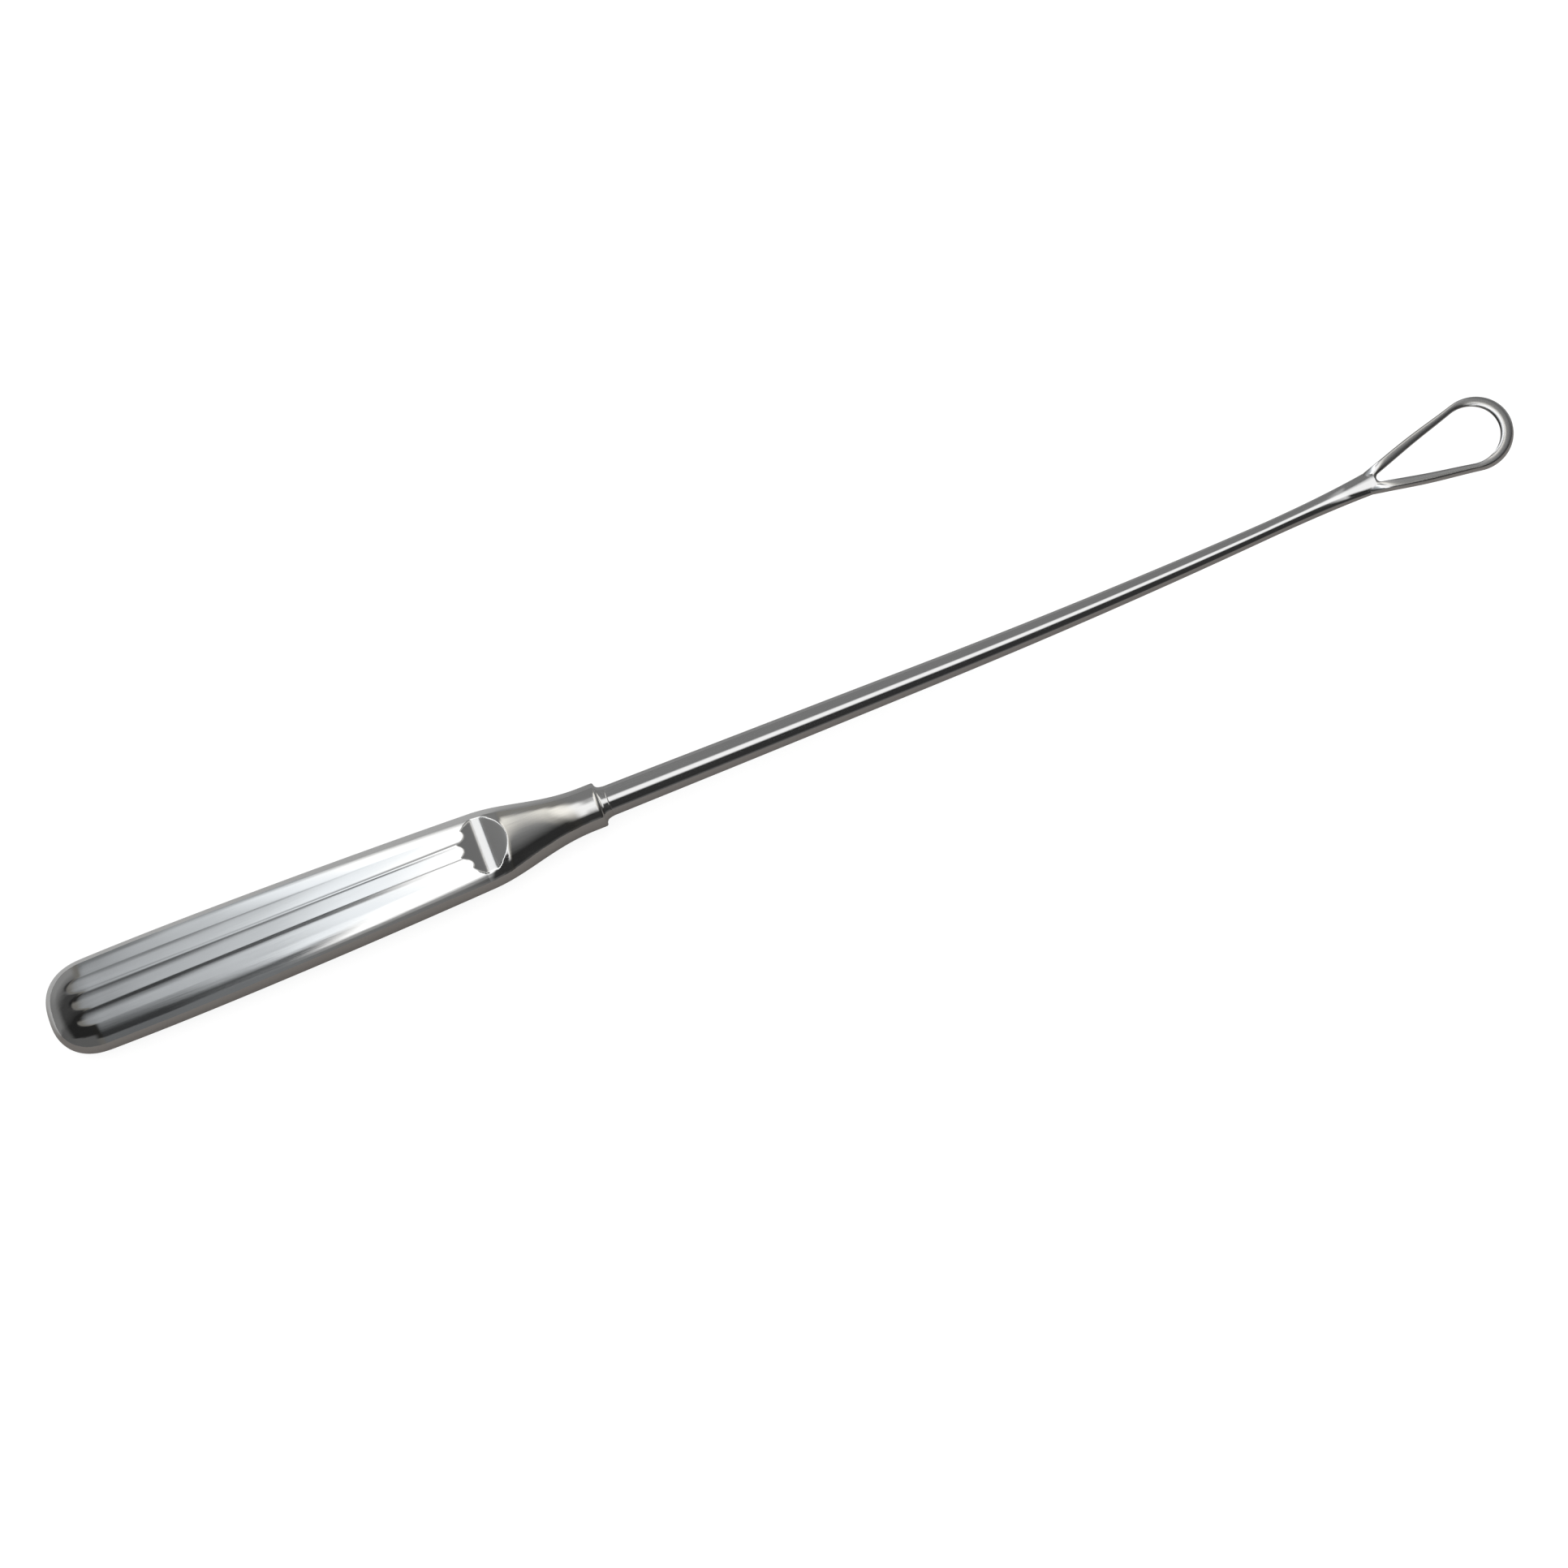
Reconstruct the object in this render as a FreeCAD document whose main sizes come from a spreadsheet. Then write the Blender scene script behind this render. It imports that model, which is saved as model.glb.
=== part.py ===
"""Uterine curette: fluted oval handle, tapered shaft with a teardrop loop, solder bead.

Frame while modelling: +X from the butt of the handle to the loop, +Y across, +Z up out of
the face with the thumb notch. The finished pieces are then laid on the table together.
"""
import FreeCAD, Part
import math
import os

import Sketcher
from FreeCAD import Placement, Rotation, Vector

# Driving dimensions in millimetres and degrees: alias, value, what it is
DIMENSIONS = (
    ("handle_length", 105.0, "butt to the mouth of the collar"),
    ("grip_width", 17.5, "widest place of the grip"),
    ("knee_width", 14.6, "width of the grip where the neck starts"),
    ("collar_diameter", 8.2, "round mouth of the handle"),
    ("grip_thickness", 8.2, "thickness at the butt end of the grip"),
    ("knee_thickness", 9.2, "thickness where the neck starts"),
    ("widest_place", 20.0, "butt to the widest place"),
    ("neck_length", 20.5, "from the knee to the collar"),
    ("collar_length", 2.5, "straight length of the collar"),
    ("butt_length", 9.2, "length of the butt's rounding seen from above"),
    ("butt_rise", 9.0, "length of the butt's rounding seen from the side"),
    ("grip_fullness", 2.6, "exponent of the grip's oval section"),
    ("knee_fullness", 2.0, "exponent of the oval at the knee"),
    ("mouth_rounding", 0.35, "rounded outer edge of the collar's mouth"),
    ("flute_pitch_butt", 3.25, "spacing of the flutes at the butt"),
    ("flute_pitch_knee", 2.45, "spacing of the flutes at the notch"),
    ("flute_depth", 0.38, "depth of a flute below its crests"),
    ("notch_setback", 1.2, "from the knee to the middle of the notch"),
    ("notch_floor", 1.9, "length of the flat floor of the notch"),
    ("notch_depth", 1.35, "depth of the thumb notch"),
    ("notch_slope", 20.0, "angle of the two walls of the notch"),
    ("bore_depth", 16.0, "depth of the bore for the shaft's tang"),
    ("solder_gap", 0.04, "solder film around the tang"),
    ("rod_diameter", 5.6, "shaft at the mouth of the collar"),
    ("waist_diameter", 3.0, "thinnest place of the shaft"),
    ("straight_length", 64.0, "straight run of the shaft outside the collar"),
    ("bend_length", 85.0, "length of the gently curved run up to the fork"),
    ("bend_angle", 11.5, "how far the curved run turns upward"),
    ("flare_length", 20.0, "length of the flare that widens into the fork"),
    ("loop_thickness", 2.0, "height of the loop's band"),
    ("loop_radius", 6.75, "outer radius of the round end of the loop"),
    ("loop_reach", 19.55, "fork to the centre of the loop's outer round end"),
    ("root_radius", 2.2, "outer half width of the fork"),
    ("eye_radius", 5.35, "radius of the round end of the opening"),
    ("eye_reach", 18.65, "fork to the centre of the opening's round end"),
    ("crotch_radius", 0.9, "radius of the opening at the fork"),
    ("crotch_place", 1.8, "fork to the centre of the opening's narrow end"),
    ("loop_rounding", 0.6, "rounded outer edges of the band"),
    ("bevel_width", 0.7, "grinding of the cutting edge, across the band"),
    ("bevel_height", 1.3, "grinding of the cutting edge, along its height"),
    ("fork_inset", 0.12, "how far the rod ends inside the loop's surfaces"),
    ("bead_reach", 1.6, "length of the solder bead along the shaft"),
    ("bead_rise", 0.85, "height of the solder bead up the collar's face"),
    ("bead_gap", 0.01, "film between the bead's bore and the shaft"),
)

# Values that follow from the driving dimensions
DERIVED = (
    ("knee_place", "=handle_length - collar_length - neck_length"),
    ("notch_place", "=knee_place + notch_setback"),
    ("flute_radius_butt", "=(flute_pitch_butt * flute_pitch_butt / 4 + flute_depth * flute_depth)"
                          " / (2 * flute_depth)"),
    ("flute_radius_knee", "=(flute_pitch_knee * flute_pitch_knee / 4 + flute_depth * flute_depth)"
                          " / (2 * flute_depth)"),
    ("bore_diameter", "=rod_diameter + 2 * solder_gap"),
    ("mouth_radius", "=collar_diameter / 2"),
    ("bead_bore_radius", "=rod_diameter / 2 + bead_gap"),
)

# Character of the curves: exponents and shares without a unit
ROUND = 2.0
BUTT_FULLNESS = 2.45
BUTT_SIDE_FULLNESS = 2.3
BUTT_NARROWING = 0.03
GRIP_TAPER = 1.6
FULLNESS_FADE = 3.0
ROD_TAPER = 1.15
FLARE_TAPER = 2.4
FORK_FULLNESS = 3.4
FORK_FADE = 2.0
BEAD_HOLLOW = 0.3

# How far the notch's cutter stands above the grip
NOTCH_HEADROOM = 2.0

# How many sections and points describe the forged forms
SECTION_POINTS = 40
BUTT_STATIONS = 9
GRIP_STATIONS = 7
NECK_STATIONS = 10
COLLAR_STATIONS = 3
STRAIGHT_STATIONS = 5
BEND_STATIONS = 8
FLARE_STATIONS = 8


def make_sheet(doc):
    """Write the dimensions into a spreadsheet and return it."""
    sheet = doc.addObject("Spreadsheet::Sheet", "dimensions")
    for row, (alias, value, note) in enumerate(DIMENSIONS, start=1):
        sheet.set(f"A{row}", str(value))
        sheet.setAlias(f"A{row}", alias)
        sheet.set(f"B{row}", note)
    for row, (alias, formula) in enumerate(DERIVED, start=len(DIMENSIONS) + 1):
        sheet.set(f"A{row}", formula)
        sheet.setAlias(f"A{row}", alias)
    doc.recompute()
    return sheet


class Sizes:
    """Read access to the sheet by alias, as plain numbers."""

    def __init__(self, sheet):
        self._sheet = sheet

    def __getattr__(self, alias):
        return float(self._sheet.get(alias))


def signed_power(value, exponent):
    """Return the power of a number's size, with the number's sign."""
    return math.copysign(abs(value) ** exponent, value)


def rounded_end(place, length, fullness):
    """Share of the full size at a distance from a rounded end."""
    if place >= length:
        return 1.0
    return (1.0 - (1.0 - place / length) ** fullness) ** (1.0 / fullness)


def neck_blend(size, place):
    """Zero on the grip, one on the collar, and a soft step along the neck."""
    step = (place - size.knee_place) / size.neck_length
    step = min(max(step, 0.0), 1.0)
    return 0.5 - 0.5 * math.cos(math.pi * step)


def handle_oval(size, place):
    """Return half width, half thickness and fullness of the handle's section at a place."""
    blend = neck_blend(size, place)
    collar = size.collar_diameter / 2
    run = max(place - size.widest_place, 0.0) / (size.knee_place - size.widest_place)
    lead = max(size.widest_place - place, 0.0) / size.widest_place
    grip_width = size.grip_width - (size.grip_width - size.knee_width) * run ** GRIP_TAPER
    grip_width -= BUTT_NARROWING * size.grip_width * lead ** 2
    thickness = size.grip_thickness
    thickness += (size.knee_thickness - size.grip_thickness) * min(place / size.knee_place, 1.0)
    half_width = grip_width / 2 * (1 - blend) + collar * blend
    half_thickness = thickness / 2 * (1 - blend) + collar * blend
    fade = min(max(place / size.knee_place, 0.0), 1.0) ** FULLNESS_FADE
    fullness = size.grip_fullness + (size.knee_fullness - size.grip_fullness) * fade
    half_width *= rounded_end(place, size.butt_length, BUTT_FULLNESS)
    half_thickness *= rounded_end(place, size.butt_rise, BUTT_SIDE_FULLNESS)
    return half_width, half_thickness, fullness


def oval_wire(half_width, half_height, fullness, frame):
    """Return a closed oval in the YZ plane of a frame."""
    points = []
    for number in range(SECTION_POINTS):
        angle = 2 * math.pi * number / SECTION_POINTS
        across = half_width * signed_power(math.cos(angle), 2 / fullness)
        up = half_height * signed_power(math.sin(angle), 2 / fullness)
        points.append(frame.multVec(Vector(0, across, up)))
    curve = Part.BSplineCurve()
    steps = [number / SECTION_POINTS for number in range(SECTION_POINTS + 1)]
    curve.interpolate(Points=points, PeriodicFlag=True, Parameters=steps)
    return Part.Wire(curve.toShape())


def handle_stations(size):
    """Places of the sections: close together at the butt and along the neck."""
    butt = max(size.butt_length, size.butt_rise)
    turns = [0.5 * math.pi * number / BUTT_STATIONS for number in range(1, BUTT_STATIONS + 1)]
    places = [butt * (1 - math.cos(turn)) for turn in turns]
    grip = size.knee_place - butt
    places += [butt + grip * number / GRIP_STATIONS for number in range(1, GRIP_STATIONS + 1)]
    neck = size.neck_length / NECK_STATIONS
    places += [size.knee_place + neck * number for number in range(1, NECK_STATIONS + 1)]
    collar = size.collar_length / COLLAR_STATIONS
    places += [size.handle_length - collar * number for number in reversed(range(COLLAR_STATIONS))]
    return places


def make_handle_blank(doc, size):
    """Forged oval blank of the handle, before its flutes, notch and bore."""
    sections = [Part.Vertex(0, 0, 0)]
    for place in handle_stations(size):
        frame = Placement(Vector(place, 0, 0), Rotation())
        sections.append(oval_wire(*handle_oval(size, place), frame))
    blank = doc.addObject("Part::Feature", "handle_blank")
    blank.Shape = Part.makeLoft(sections, True, False)
    return blank


def origin_plane(body, role):
    """Return one of a body's own origin planes."""
    return next(item for item in body.Origin.OriginFeatures if item.Role == role)


def bind(item, **formulas):
    """Bind properties of an object to the sheet."""
    for name, formula in formulas.items():
        item.setExpression(name, formula)


def new_sketch(body, name, role, offset=None):
    """Return a new sketch on one of the body's origin planes."""
    sketch = body.newObject("Sketcher::SketchObject", name)
    sketch.AttachmentSupport = (origin_plane(body, role), [""])
    sketch.MapMode = "FlatFace"
    if offset is not None:
        sketch.AttachmentOffset = offset
    return sketch


def bind_size(sketch, kind, arguments, guess, name, formula):
    """Add a named dimension to a sketch and bind it to the sheet."""
    number = sketch.addConstraint(Sketcher.Constraint(kind, *arguments, guess))
    sketch.renameConstraint(number, name)
    sketch.setExpression(f"Constraints.{name}", formula)


def surface_point(size, place, across):
    """Return height and outward tilt of the handle's upper face at a place."""
    half_width, half_thickness, fullness = handle_oval(size, place)
    share = abs(across) / half_width
    height = half_thickness * (1 - share ** fullness) ** (1 / fullness)
    rise = half_thickness / half_width * (share * half_thickness / height) ** (fullness - 1)
    return height, math.copysign(math.atan(rise), across)


def flute_centre(size, place, across, radius, face):
    """Centre of a flute's cutter, so that it cuts to the flute's depth."""
    full_place = max(place, size.butt_rise)
    height, tilt = surface_point(size, full_place, across)
    lift = radius - size.flute_depth
    return Vector(place, across + lift * math.sin(tilt), face * (height + lift * math.cos(tilt)))


def cut_flute(body, size, name, column, face):
    """Cut one tapering flute with a round end into the upper (1) or lower (-1) face."""
    butt = flute_centre(size, 0.0, column * size.flute_pitch_butt, size.flute_radius_butt, face)
    knee = flute_centre(size, size.knee_place, column * size.flute_pitch_knee,
                        size.flute_radius_knee, face)
    run = knee - butt
    seam_turn = Rotation(Vector(0, 0, 1), 0 if face > 0 else 180)
    turn = Rotation(Vector(0, 0, 1), run).multiply(seam_turn)
    cone = body.newObject("PartDesign::SubtractiveCone", f"{name}_run")
    cone.MapMode = "Deactivated"
    cone.Placement = Placement(butt, turn)
    cone.Height = run.Length
    bind(cone, Radius1="<<dimensions>>.flute_radius_butt",
         Radius2="<<dimensions>>.flute_radius_knee")
    ball = body.newObject("PartDesign::SubtractiveSphere", f"{name}_end")
    ball.MapMode = "Deactivated"
    ball.Placement = Placement(knee, turn)
    bind(ball, Radius="<<dimensions>>.flute_radius_knee")
    body.Tip = ball


def cut_flutes(body, size):
    """Cut three flutes into each face of the grip."""
    for face, word in ((1, "upper"), (-1, "lower")):
        for column in (-1, 0, 1):
            cut_flute(body, size, f"{word}_flute_{column + 2}", column, face)


def cut_notch(body, size):
    """Cut the thumb notch across the upper face: sloping walls and a flat floor."""
    top = size.knee_thickness / 2 + NOTCH_HEADROOM
    floor = size.knee_thickness / 2 - size.notch_depth
    reach = (top - floor) / math.tan(math.radians(size.notch_slope))
    left = size.notch_place - size.notch_floor / 2
    right = size.notch_place + size.notch_floor / 2
    corners = [Vector(left, floor, 0), Vector(right, floor, 0),
               Vector(right + reach, top, 0), Vector(left - reach, top, 0)]
    sketch = new_sketch(body, "notch_profile", "XZ_Plane")
    for number in range(4):
        sketch.addGeometry(Part.LineSegment(corners[number], corners[(number + 1) % 4]), False)
    for number in range(4):
        sketch.addConstraint(Sketcher.Constraint("Coincident", number, 2, (number + 1) % 4, 1))
    sketch.addConstraint(Sketcher.Constraint("Horizontal", 0))
    sketch.addConstraint(Sketcher.Constraint("Horizontal", 2))
    bind_size(sketch, "DistanceX", (0, 1, 0, 2), size.notch_floor, "floor",
              "<<dimensions>>.notch_floor")
    bind_size(sketch, "DistanceX", (-1, 1, 0, 1), left, "place",
              "<<dimensions>>.notch_place - <<dimensions>>.notch_floor / 2")
    bind_size(sketch, "DistanceY", (-1, 1, 0, 1), floor, "level",
              "<<dimensions>>.knee_thickness / 2 - <<dimensions>>.notch_depth")
    bind_size(sketch, "DistanceY", (1, 1, 1, 2), top - floor, "height",
              f"<<dimensions>>.notch_depth + {NOTCH_HEADROOM}")
    reach_formula = (f"(<<dimensions>>.notch_depth + {NOTCH_HEADROOM})"
                     " / tan(<<dimensions>>.notch_slope * 1 deg)")
    bind_size(sketch, "DistanceX", (1, 1, 1, 2), reach, "front", reach_formula)
    bind_size(sketch, "DistanceX", (3, 1, 3, 2), reach, "rear", reach_formula)
    pocket = body.newObject("PartDesign::Pocket", "thumb_notch")
    pocket.Profile = sketch
    pocket.Midplane = True
    pocket.Type = "Length"
    bind(pocket, Length="2 * <<dimensions>>.grip_width")
    body.Tip = pocket


def cut_bore(body, size):
    """Drill the blind bore that takes the shaft's tang."""
    offset = Placement(Vector(0, 0, size.handle_length), Rotation())
    sketch = new_sketch(body, "bore_circle", "YZ_Plane", offset)
    sketch.setExpression("AttachmentOffset.Base.z", "<<dimensions>>.handle_length")
    sketch.addGeometry(Part.Circle(Vector(0, 0, 0), Vector(0, 0, 1), size.bore_diameter / 2), False)
    sketch.addConstraint(Sketcher.Constraint("Coincident", 0, 3, -1, 1))
    bind_size(sketch, "Diameter", (0,), size.bore_diameter, "bore", "<<dimensions>>.bore_diameter")
    pocket = body.newObject("PartDesign::Pocket", "tang_bore")
    pocket.Profile = sketch
    pocket.Type = "Length"
    pocket.Reversed = False
    bind(pocket, Length="<<dimensions>>.bore_depth")
    body.Tip = pocket


def profile(body, name, corners):
    """Draw a closed outline on the XZ plane from corners: place, formula, height, formula."""
    sketch = new_sketch(body, name, "XZ_Plane")
    count = len(corners)
    points = [Vector(corner[0], corner[2], 0) for corner in corners]
    for number in range(count):
        sketch.addGeometry(Part.LineSegment(points[number], points[(number + 1) % count]), False)
    for number in range(count):
        following = (number + 1) % count
        sketch.addConstraint(Sketcher.Constraint("Coincident", number, 2, following, 1))
    for number, (place, place_formula, height, height_formula) in enumerate(corners):
        bind_size(sketch, "DistanceX", (-1, 1, number, 1), place, f"place_{number}", place_formula)
        bind_size(sketch, "DistanceY", (-1, 1, number, 1), height, f"height_{number}",
                  height_formula)
    return sketch


def break_mouth_edge(body, size):
    """Turn a small chamfer on the outer edge of the collar's mouth."""
    sheet = "<<dimensions>>"
    edge = size.mouth_rounding
    end = size.handle_length
    radius = size.mouth_radius
    corners = (
        (end - edge, f"{sheet}.handle_length - {sheet}.mouth_rounding",
         radius, f"{sheet}.mouth_radius"),
        (end, f"{sheet}.handle_length",
         radius - edge, f"{sheet}.mouth_radius - {sheet}.mouth_rounding"),
        (end + edge, f"{sheet}.handle_length + {sheet}.mouth_rounding",
         radius + edge, f"{sheet}.mouth_radius + {sheet}.mouth_rounding"),
    )
    groove = body.newObject("PartDesign::Groove", "mouth_edge")
    groove.Profile = profile(body, "mouth_edge_profile", corners)
    groove.ReferenceAxis = (groove.Profile[0], ["H_Axis"])
    groove.Angle = 360.0
    body.Tip = groove


def make_handle(doc, size):
    """Handle: oval blank, flutes on both faces, thumb notch and bore."""
    blank = make_handle_blank(doc, size)
    body = doc.addObject("PartDesign::Body", "handle")
    body.Label = "handle"
    body.BaseFeature = blank
    cut_flutes(body, size)
    cut_notch(body, size)
    cut_bore(body, size)
    break_mouth_edge(body, size)
    return body


def shaft_oval(size, place):
    """Return half width, half height and fullness of the shaft at a place past the mouth."""
    fork = size.straight_length + size.bend_length
    waist = fork - size.flare_length
    thin = min(max((place - size.bead_reach) / (waist - size.bead_reach), 0.0), 1.0) ** ROD_TAPER
    radius = (size.rod_diameter + (size.waist_diameter - size.rod_diameter) * thin) / 2
    flare = max((place - waist) / size.flare_length, 0.0)
    fork_width = size.root_radius - size.fork_inset
    fork_height = size.loop_thickness / 2 - size.fork_inset
    half_width = radius + (fork_width - radius) * flare ** FLARE_TAPER
    half_height = radius + (fork_height - radius) * flare ** FLARE_TAPER
    fullness = ROUND + (FORK_FULLNESS - ROUND) * flare ** FORK_FADE
    return half_width, half_height, fullness


def shaft_frame(size, place):
    """Return the frame of the shaft's centre line at a place past the mouth."""
    straight = Vector(size.handle_length + min(place, size.straight_length), 0, 0)
    turn = max(place - size.straight_length, 0.0) / size.bend_length
    angle = math.radians(size.bend_angle) * turn
    if angle == 0:
        return Placement(straight, Rotation())
    radius = size.bend_length / math.radians(size.bend_angle)
    bend = Vector(radius * math.sin(angle), 0, radius * (1 - math.cos(angle)))
    return Placement(straight + bend, Rotation(Vector(0, 1, 0), -math.degrees(angle)))


def fork_frame(size):
    """Return the frame of the fork, where the loop's arms part."""
    return shaft_frame(size, size.straight_length + size.bend_length)


def shaft_stations(size):
    """Places of the shaft's sections, from the end of the tang to the fork."""
    waist = size.straight_length + size.bend_length - size.flare_length
    places = [-size.bore_depth, -size.bore_depth / 2, -size.bead_reach, 0.0, size.bead_reach]
    straight = size.straight_length / STRAIGHT_STATIONS
    places += [straight * number for number in range(1, STRAIGHT_STATIONS + 1)]
    bend = (waist - size.straight_length) / BEND_STATIONS
    places += [size.straight_length + bend * number for number in range(1, BEND_STATIONS + 1)]
    flare = size.flare_length / FLARE_STATIONS
    places += [waist + flare * number for number in range(1, FLARE_STATIONS + 1)]
    return places


def make_rod(doc, size):
    """Forged rod: tang, slow taper, gentle bend and the flare into the fork."""
    sections = [oval_wire(*shaft_oval(size, place), shaft_frame(size, place))
                for place in shaft_stations(size)]
    rod = doc.addObject("Part::Feature", "rod_blank")
    rod.Shape = Part.makeLoft(sections, True, False)
    return rod


def teardrop(sketch, near_place, near_radius, far_place, far_radius):
    """Draw two round ends joined by tangent lines, symmetric about the sketch's X axis.

    Each size is a pair: its value and its formula.
    """
    near, near_formula = near_place
    small, small_formula = near_radius
    far, far_formula = far_place
    large, large_formula = far_radius
    lean = math.asin((large - small) / (far - near))
    side = math.pi / 2 + lean
    up = Vector(0, 0, 1)
    ends = ((far, large, -side, side), (near, small, side, 2 * math.pi - side))
    for place, radius, start, end in ends:
        circle = Part.Circle(Vector(place, 0, 0), up, radius)
        sketch.addGeometry(Part.ArcOfCircle(circle, start, end), False)
    for sign in (1, -1):
        corners = [Vector(place + radius * math.cos(side), sign * radius * math.sin(side), 0)
                   for place, radius in ((far, large), (near, small))]
        sketch.addGeometry(Part.LineSegment(*corners), False)
    for pair in ((0, 2, 2, 1), (2, 2, 1, 1), (1, 2, 3, 2), (3, 1, 0, 1)):
        sketch.addConstraint(Sketcher.Constraint("Tangent", *pair))
    for arc in (0, 1):
        sketch.addConstraint(Sketcher.Constraint("PointOnObject", arc, 3, -1))
    bind_size(sketch, "DistanceX", (-1, 1, 0, 3), far, "far_place", far_formula)
    bind_size(sketch, "DistanceX", (1, 3, 0, 3), far - near, "span",
              f"({far_formula}) - ({near_formula})")
    bind_size(sketch, "Radius", (0,), large, "far_radius", large_formula)
    bind_size(sketch, "Radius", (1,), small, "near_radius", small_formula)


def eye_sketch(body, size, name, level, growth):
    """Sketch the opening's outline at a level in the loop, grown by a share of the bevel."""
    offset = fork_frame(size).multiply(Placement(Vector(0, 0, level), Rotation()))
    sketch = new_sketch(body, name, "XY_Plane", offset)
    grown = growth * size.bevel_width
    more = f" + {growth} * <<dimensions>>.bevel_width"
    teardrop(sketch,
             (size.crotch_place, "<<dimensions>>.crotch_place"),
             (size.crotch_radius + grown, "<<dimensions>>.crotch_radius" + more),
             (size.eye_reach, "<<dimensions>>.eye_reach"),
             (size.eye_radius + grown, "<<dimensions>>.eye_radius" + more))
    return sketch


def make_loop(doc, size):
    """Loop: a flat teardrop with round edges, its opening and the ground cutting edge."""
    body = doc.addObject("PartDesign::Body", "loop")
    outline = new_sketch(body, "loop_outline", "XY_Plane", fork_frame(size))
    teardrop(outline,
             (0.0, "0"),
             (size.root_radius, "<<dimensions>>.root_radius"),
             (size.loop_reach, "<<dimensions>>.loop_reach"),
             (size.loop_radius, "<<dimensions>>.loop_radius"))
    pad = body.newObject("PartDesign::Pad", "loop_blank")
    pad.Profile = outline
    pad.Midplane = True
    bind(pad, Length="<<dimensions>>.loop_thickness")
    body.Tip = pad
    doc.recompute()
    rims = [f"Face{number}" for number, face in enumerate(pad.Shape.Faces, start=1)
            if len(face.Edges) == len(outline.Geometry)
            and abs(face.normalAt(0, 0).dot(fork_frame(size).Rotation.multVec(Vector(0, 0, 1)))) > 0.9]
    fillet = body.newObject("PartDesign::Fillet", "round_edges")
    fillet.Base = (pad, rims)
    bind(fillet, Radius="<<dimensions>>.loop_rounding")
    body.Tip = fillet
    half = size.loop_thickness / 2
    eye = body.newObject("PartDesign::Pocket", "eye")
    eye.Profile = eye_sketch(body, size, "eye_outline", 0.0, 0)
    eye.Midplane = True
    eye.Type = "Length"
    bind(eye, Length="2 * <<dimensions>>.loop_thickness")
    body.Tip = eye
    bevel = body.newObject("PartDesign::SubtractiveLoft", "cutting_bevel")
    bevel.Profile = eye_sketch(body, size, "bevel_foot", -half, 1)
    bevel.Sections = [eye_sketch(body, size, "bevel_head", -half + size.bevel_height, 0)]
    bevel.Ruled = True
    body.Tip = bevel
    return body


def make_shaft(doc, size):
    """Shaft: the forged rod and its loop are one piece of steel."""
    shaft = doc.addObject("Part::MultiFuse", "shaft")
    shaft.Label = "shaft"
    shaft.Shapes = [make_rod(doc, size), make_loop(doc, size)]
    return shaft


def make_bead(doc, size):
    """Solder bead: a hollow ring in the corner between the collar's face and the shaft."""
    body = doc.addObject("PartDesign::Body", "solder_bead")
    body.Label = "solder_bead"
    sheet = "<<dimensions>>"
    start = size.handle_length
    low = size.bead_bore_radius
    corners = (
        (start, f"{sheet}.handle_length", low, f"{sheet}.bead_bore_radius"),
        (start, f"{sheet}.handle_length",
         low + size.bead_rise, f"{sheet}.bead_bore_radius + {sheet}.bead_rise"),
        (start + BEAD_HOLLOW * size.bead_reach,
         f"{sheet}.handle_length + {BEAD_HOLLOW} * {sheet}.bead_reach",
         low + BEAD_HOLLOW * size.bead_rise,
         f"{sheet}.bead_bore_radius + {BEAD_HOLLOW} * {sheet}.bead_rise"),
        (start + size.bead_reach, f"{sheet}.handle_length + {sheet}.bead_reach",
         low, f"{sheet}.bead_bore_radius"),
    )
    sketch = profile(body, "bead_profile", corners)
    ring = body.newObject("PartDesign::Revolution", "bead_ring")
    ring.Profile = sketch
    ring.ReferenceAxis = (sketch, ["H_Axis"])
    ring.Angle = 360.0
    body.Tip = ring
    return body


def lay_down(pieces, size):
    """Lay the finished pieces on the underside of the grip, over the origin."""
    slope = math.atan((size.knee_thickness - size.grip_thickness) / 2 / size.knee_place)
    turn = Rotation(Vector(0, 1, 0), -math.degrees(slope))
    laid = [piece.Shape.transformed(Placement(Vector(), turn).toMatrix(), True)
            for piece in pieces]
    box = Part.makeCompound(laid).optimalBoundingBox(False, False)
    shift = Vector(-(box.XMin + box.XMax) / 2, -(box.YMin + box.YMax) / 2, -box.ZMin)
    for piece in pieces:
        piece.Placement = Placement(shift, turn)


def check(doc, pieces):
    """Stop with a message where an object failed or a shape is not sound."""
    for item in doc.Objects:
        states = [str(state) for state in item.State]
        if "Invalid" in states or "Error" in states:
            raise RuntimeError(f"{item.Name} failed: {states}")
    for piece in pieces:
        shape = piece.Shape
        if shape.isNull() or not shape.isValid():
            raise RuntimeError(f"{piece.Label} has no sound shape")
        print(piece.Label, "solids", len(shape.Solids), "volume", round(shape.Volume, 2))


def main():
    """Build the pieces and write them."""
    doc = FreeCAD.newDocument("curette")
    size = Sizes(make_sheet(doc))
    pieces = [make_handle(doc, size), make_shaft(doc, size), make_bead(doc, size)]
    doc.recompute()
    check(doc, pieces)
    lay_down(pieces, size)
    doc.recompute()
    os.makedirs("parts", exist_ok=True)
    for piece in pieces:
        piece.Shape.exportStep(f"parts/{piece.Label}.step")


main()
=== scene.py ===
"""Uterine curette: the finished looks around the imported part.

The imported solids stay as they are. Smooth pieces built from the same formulas stand for the
handle, the shaft and the solder bead, in polished steel, on a pale table in soft studio light.
All lengths in this file are millimetres until a mesh is written in metres.
"""

import logging
import math
from dataclasses import dataclass
from enum import Enum
from typing import Sequence

import bpy
import numpy as np
from mathutils import Matrix, Vector


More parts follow.
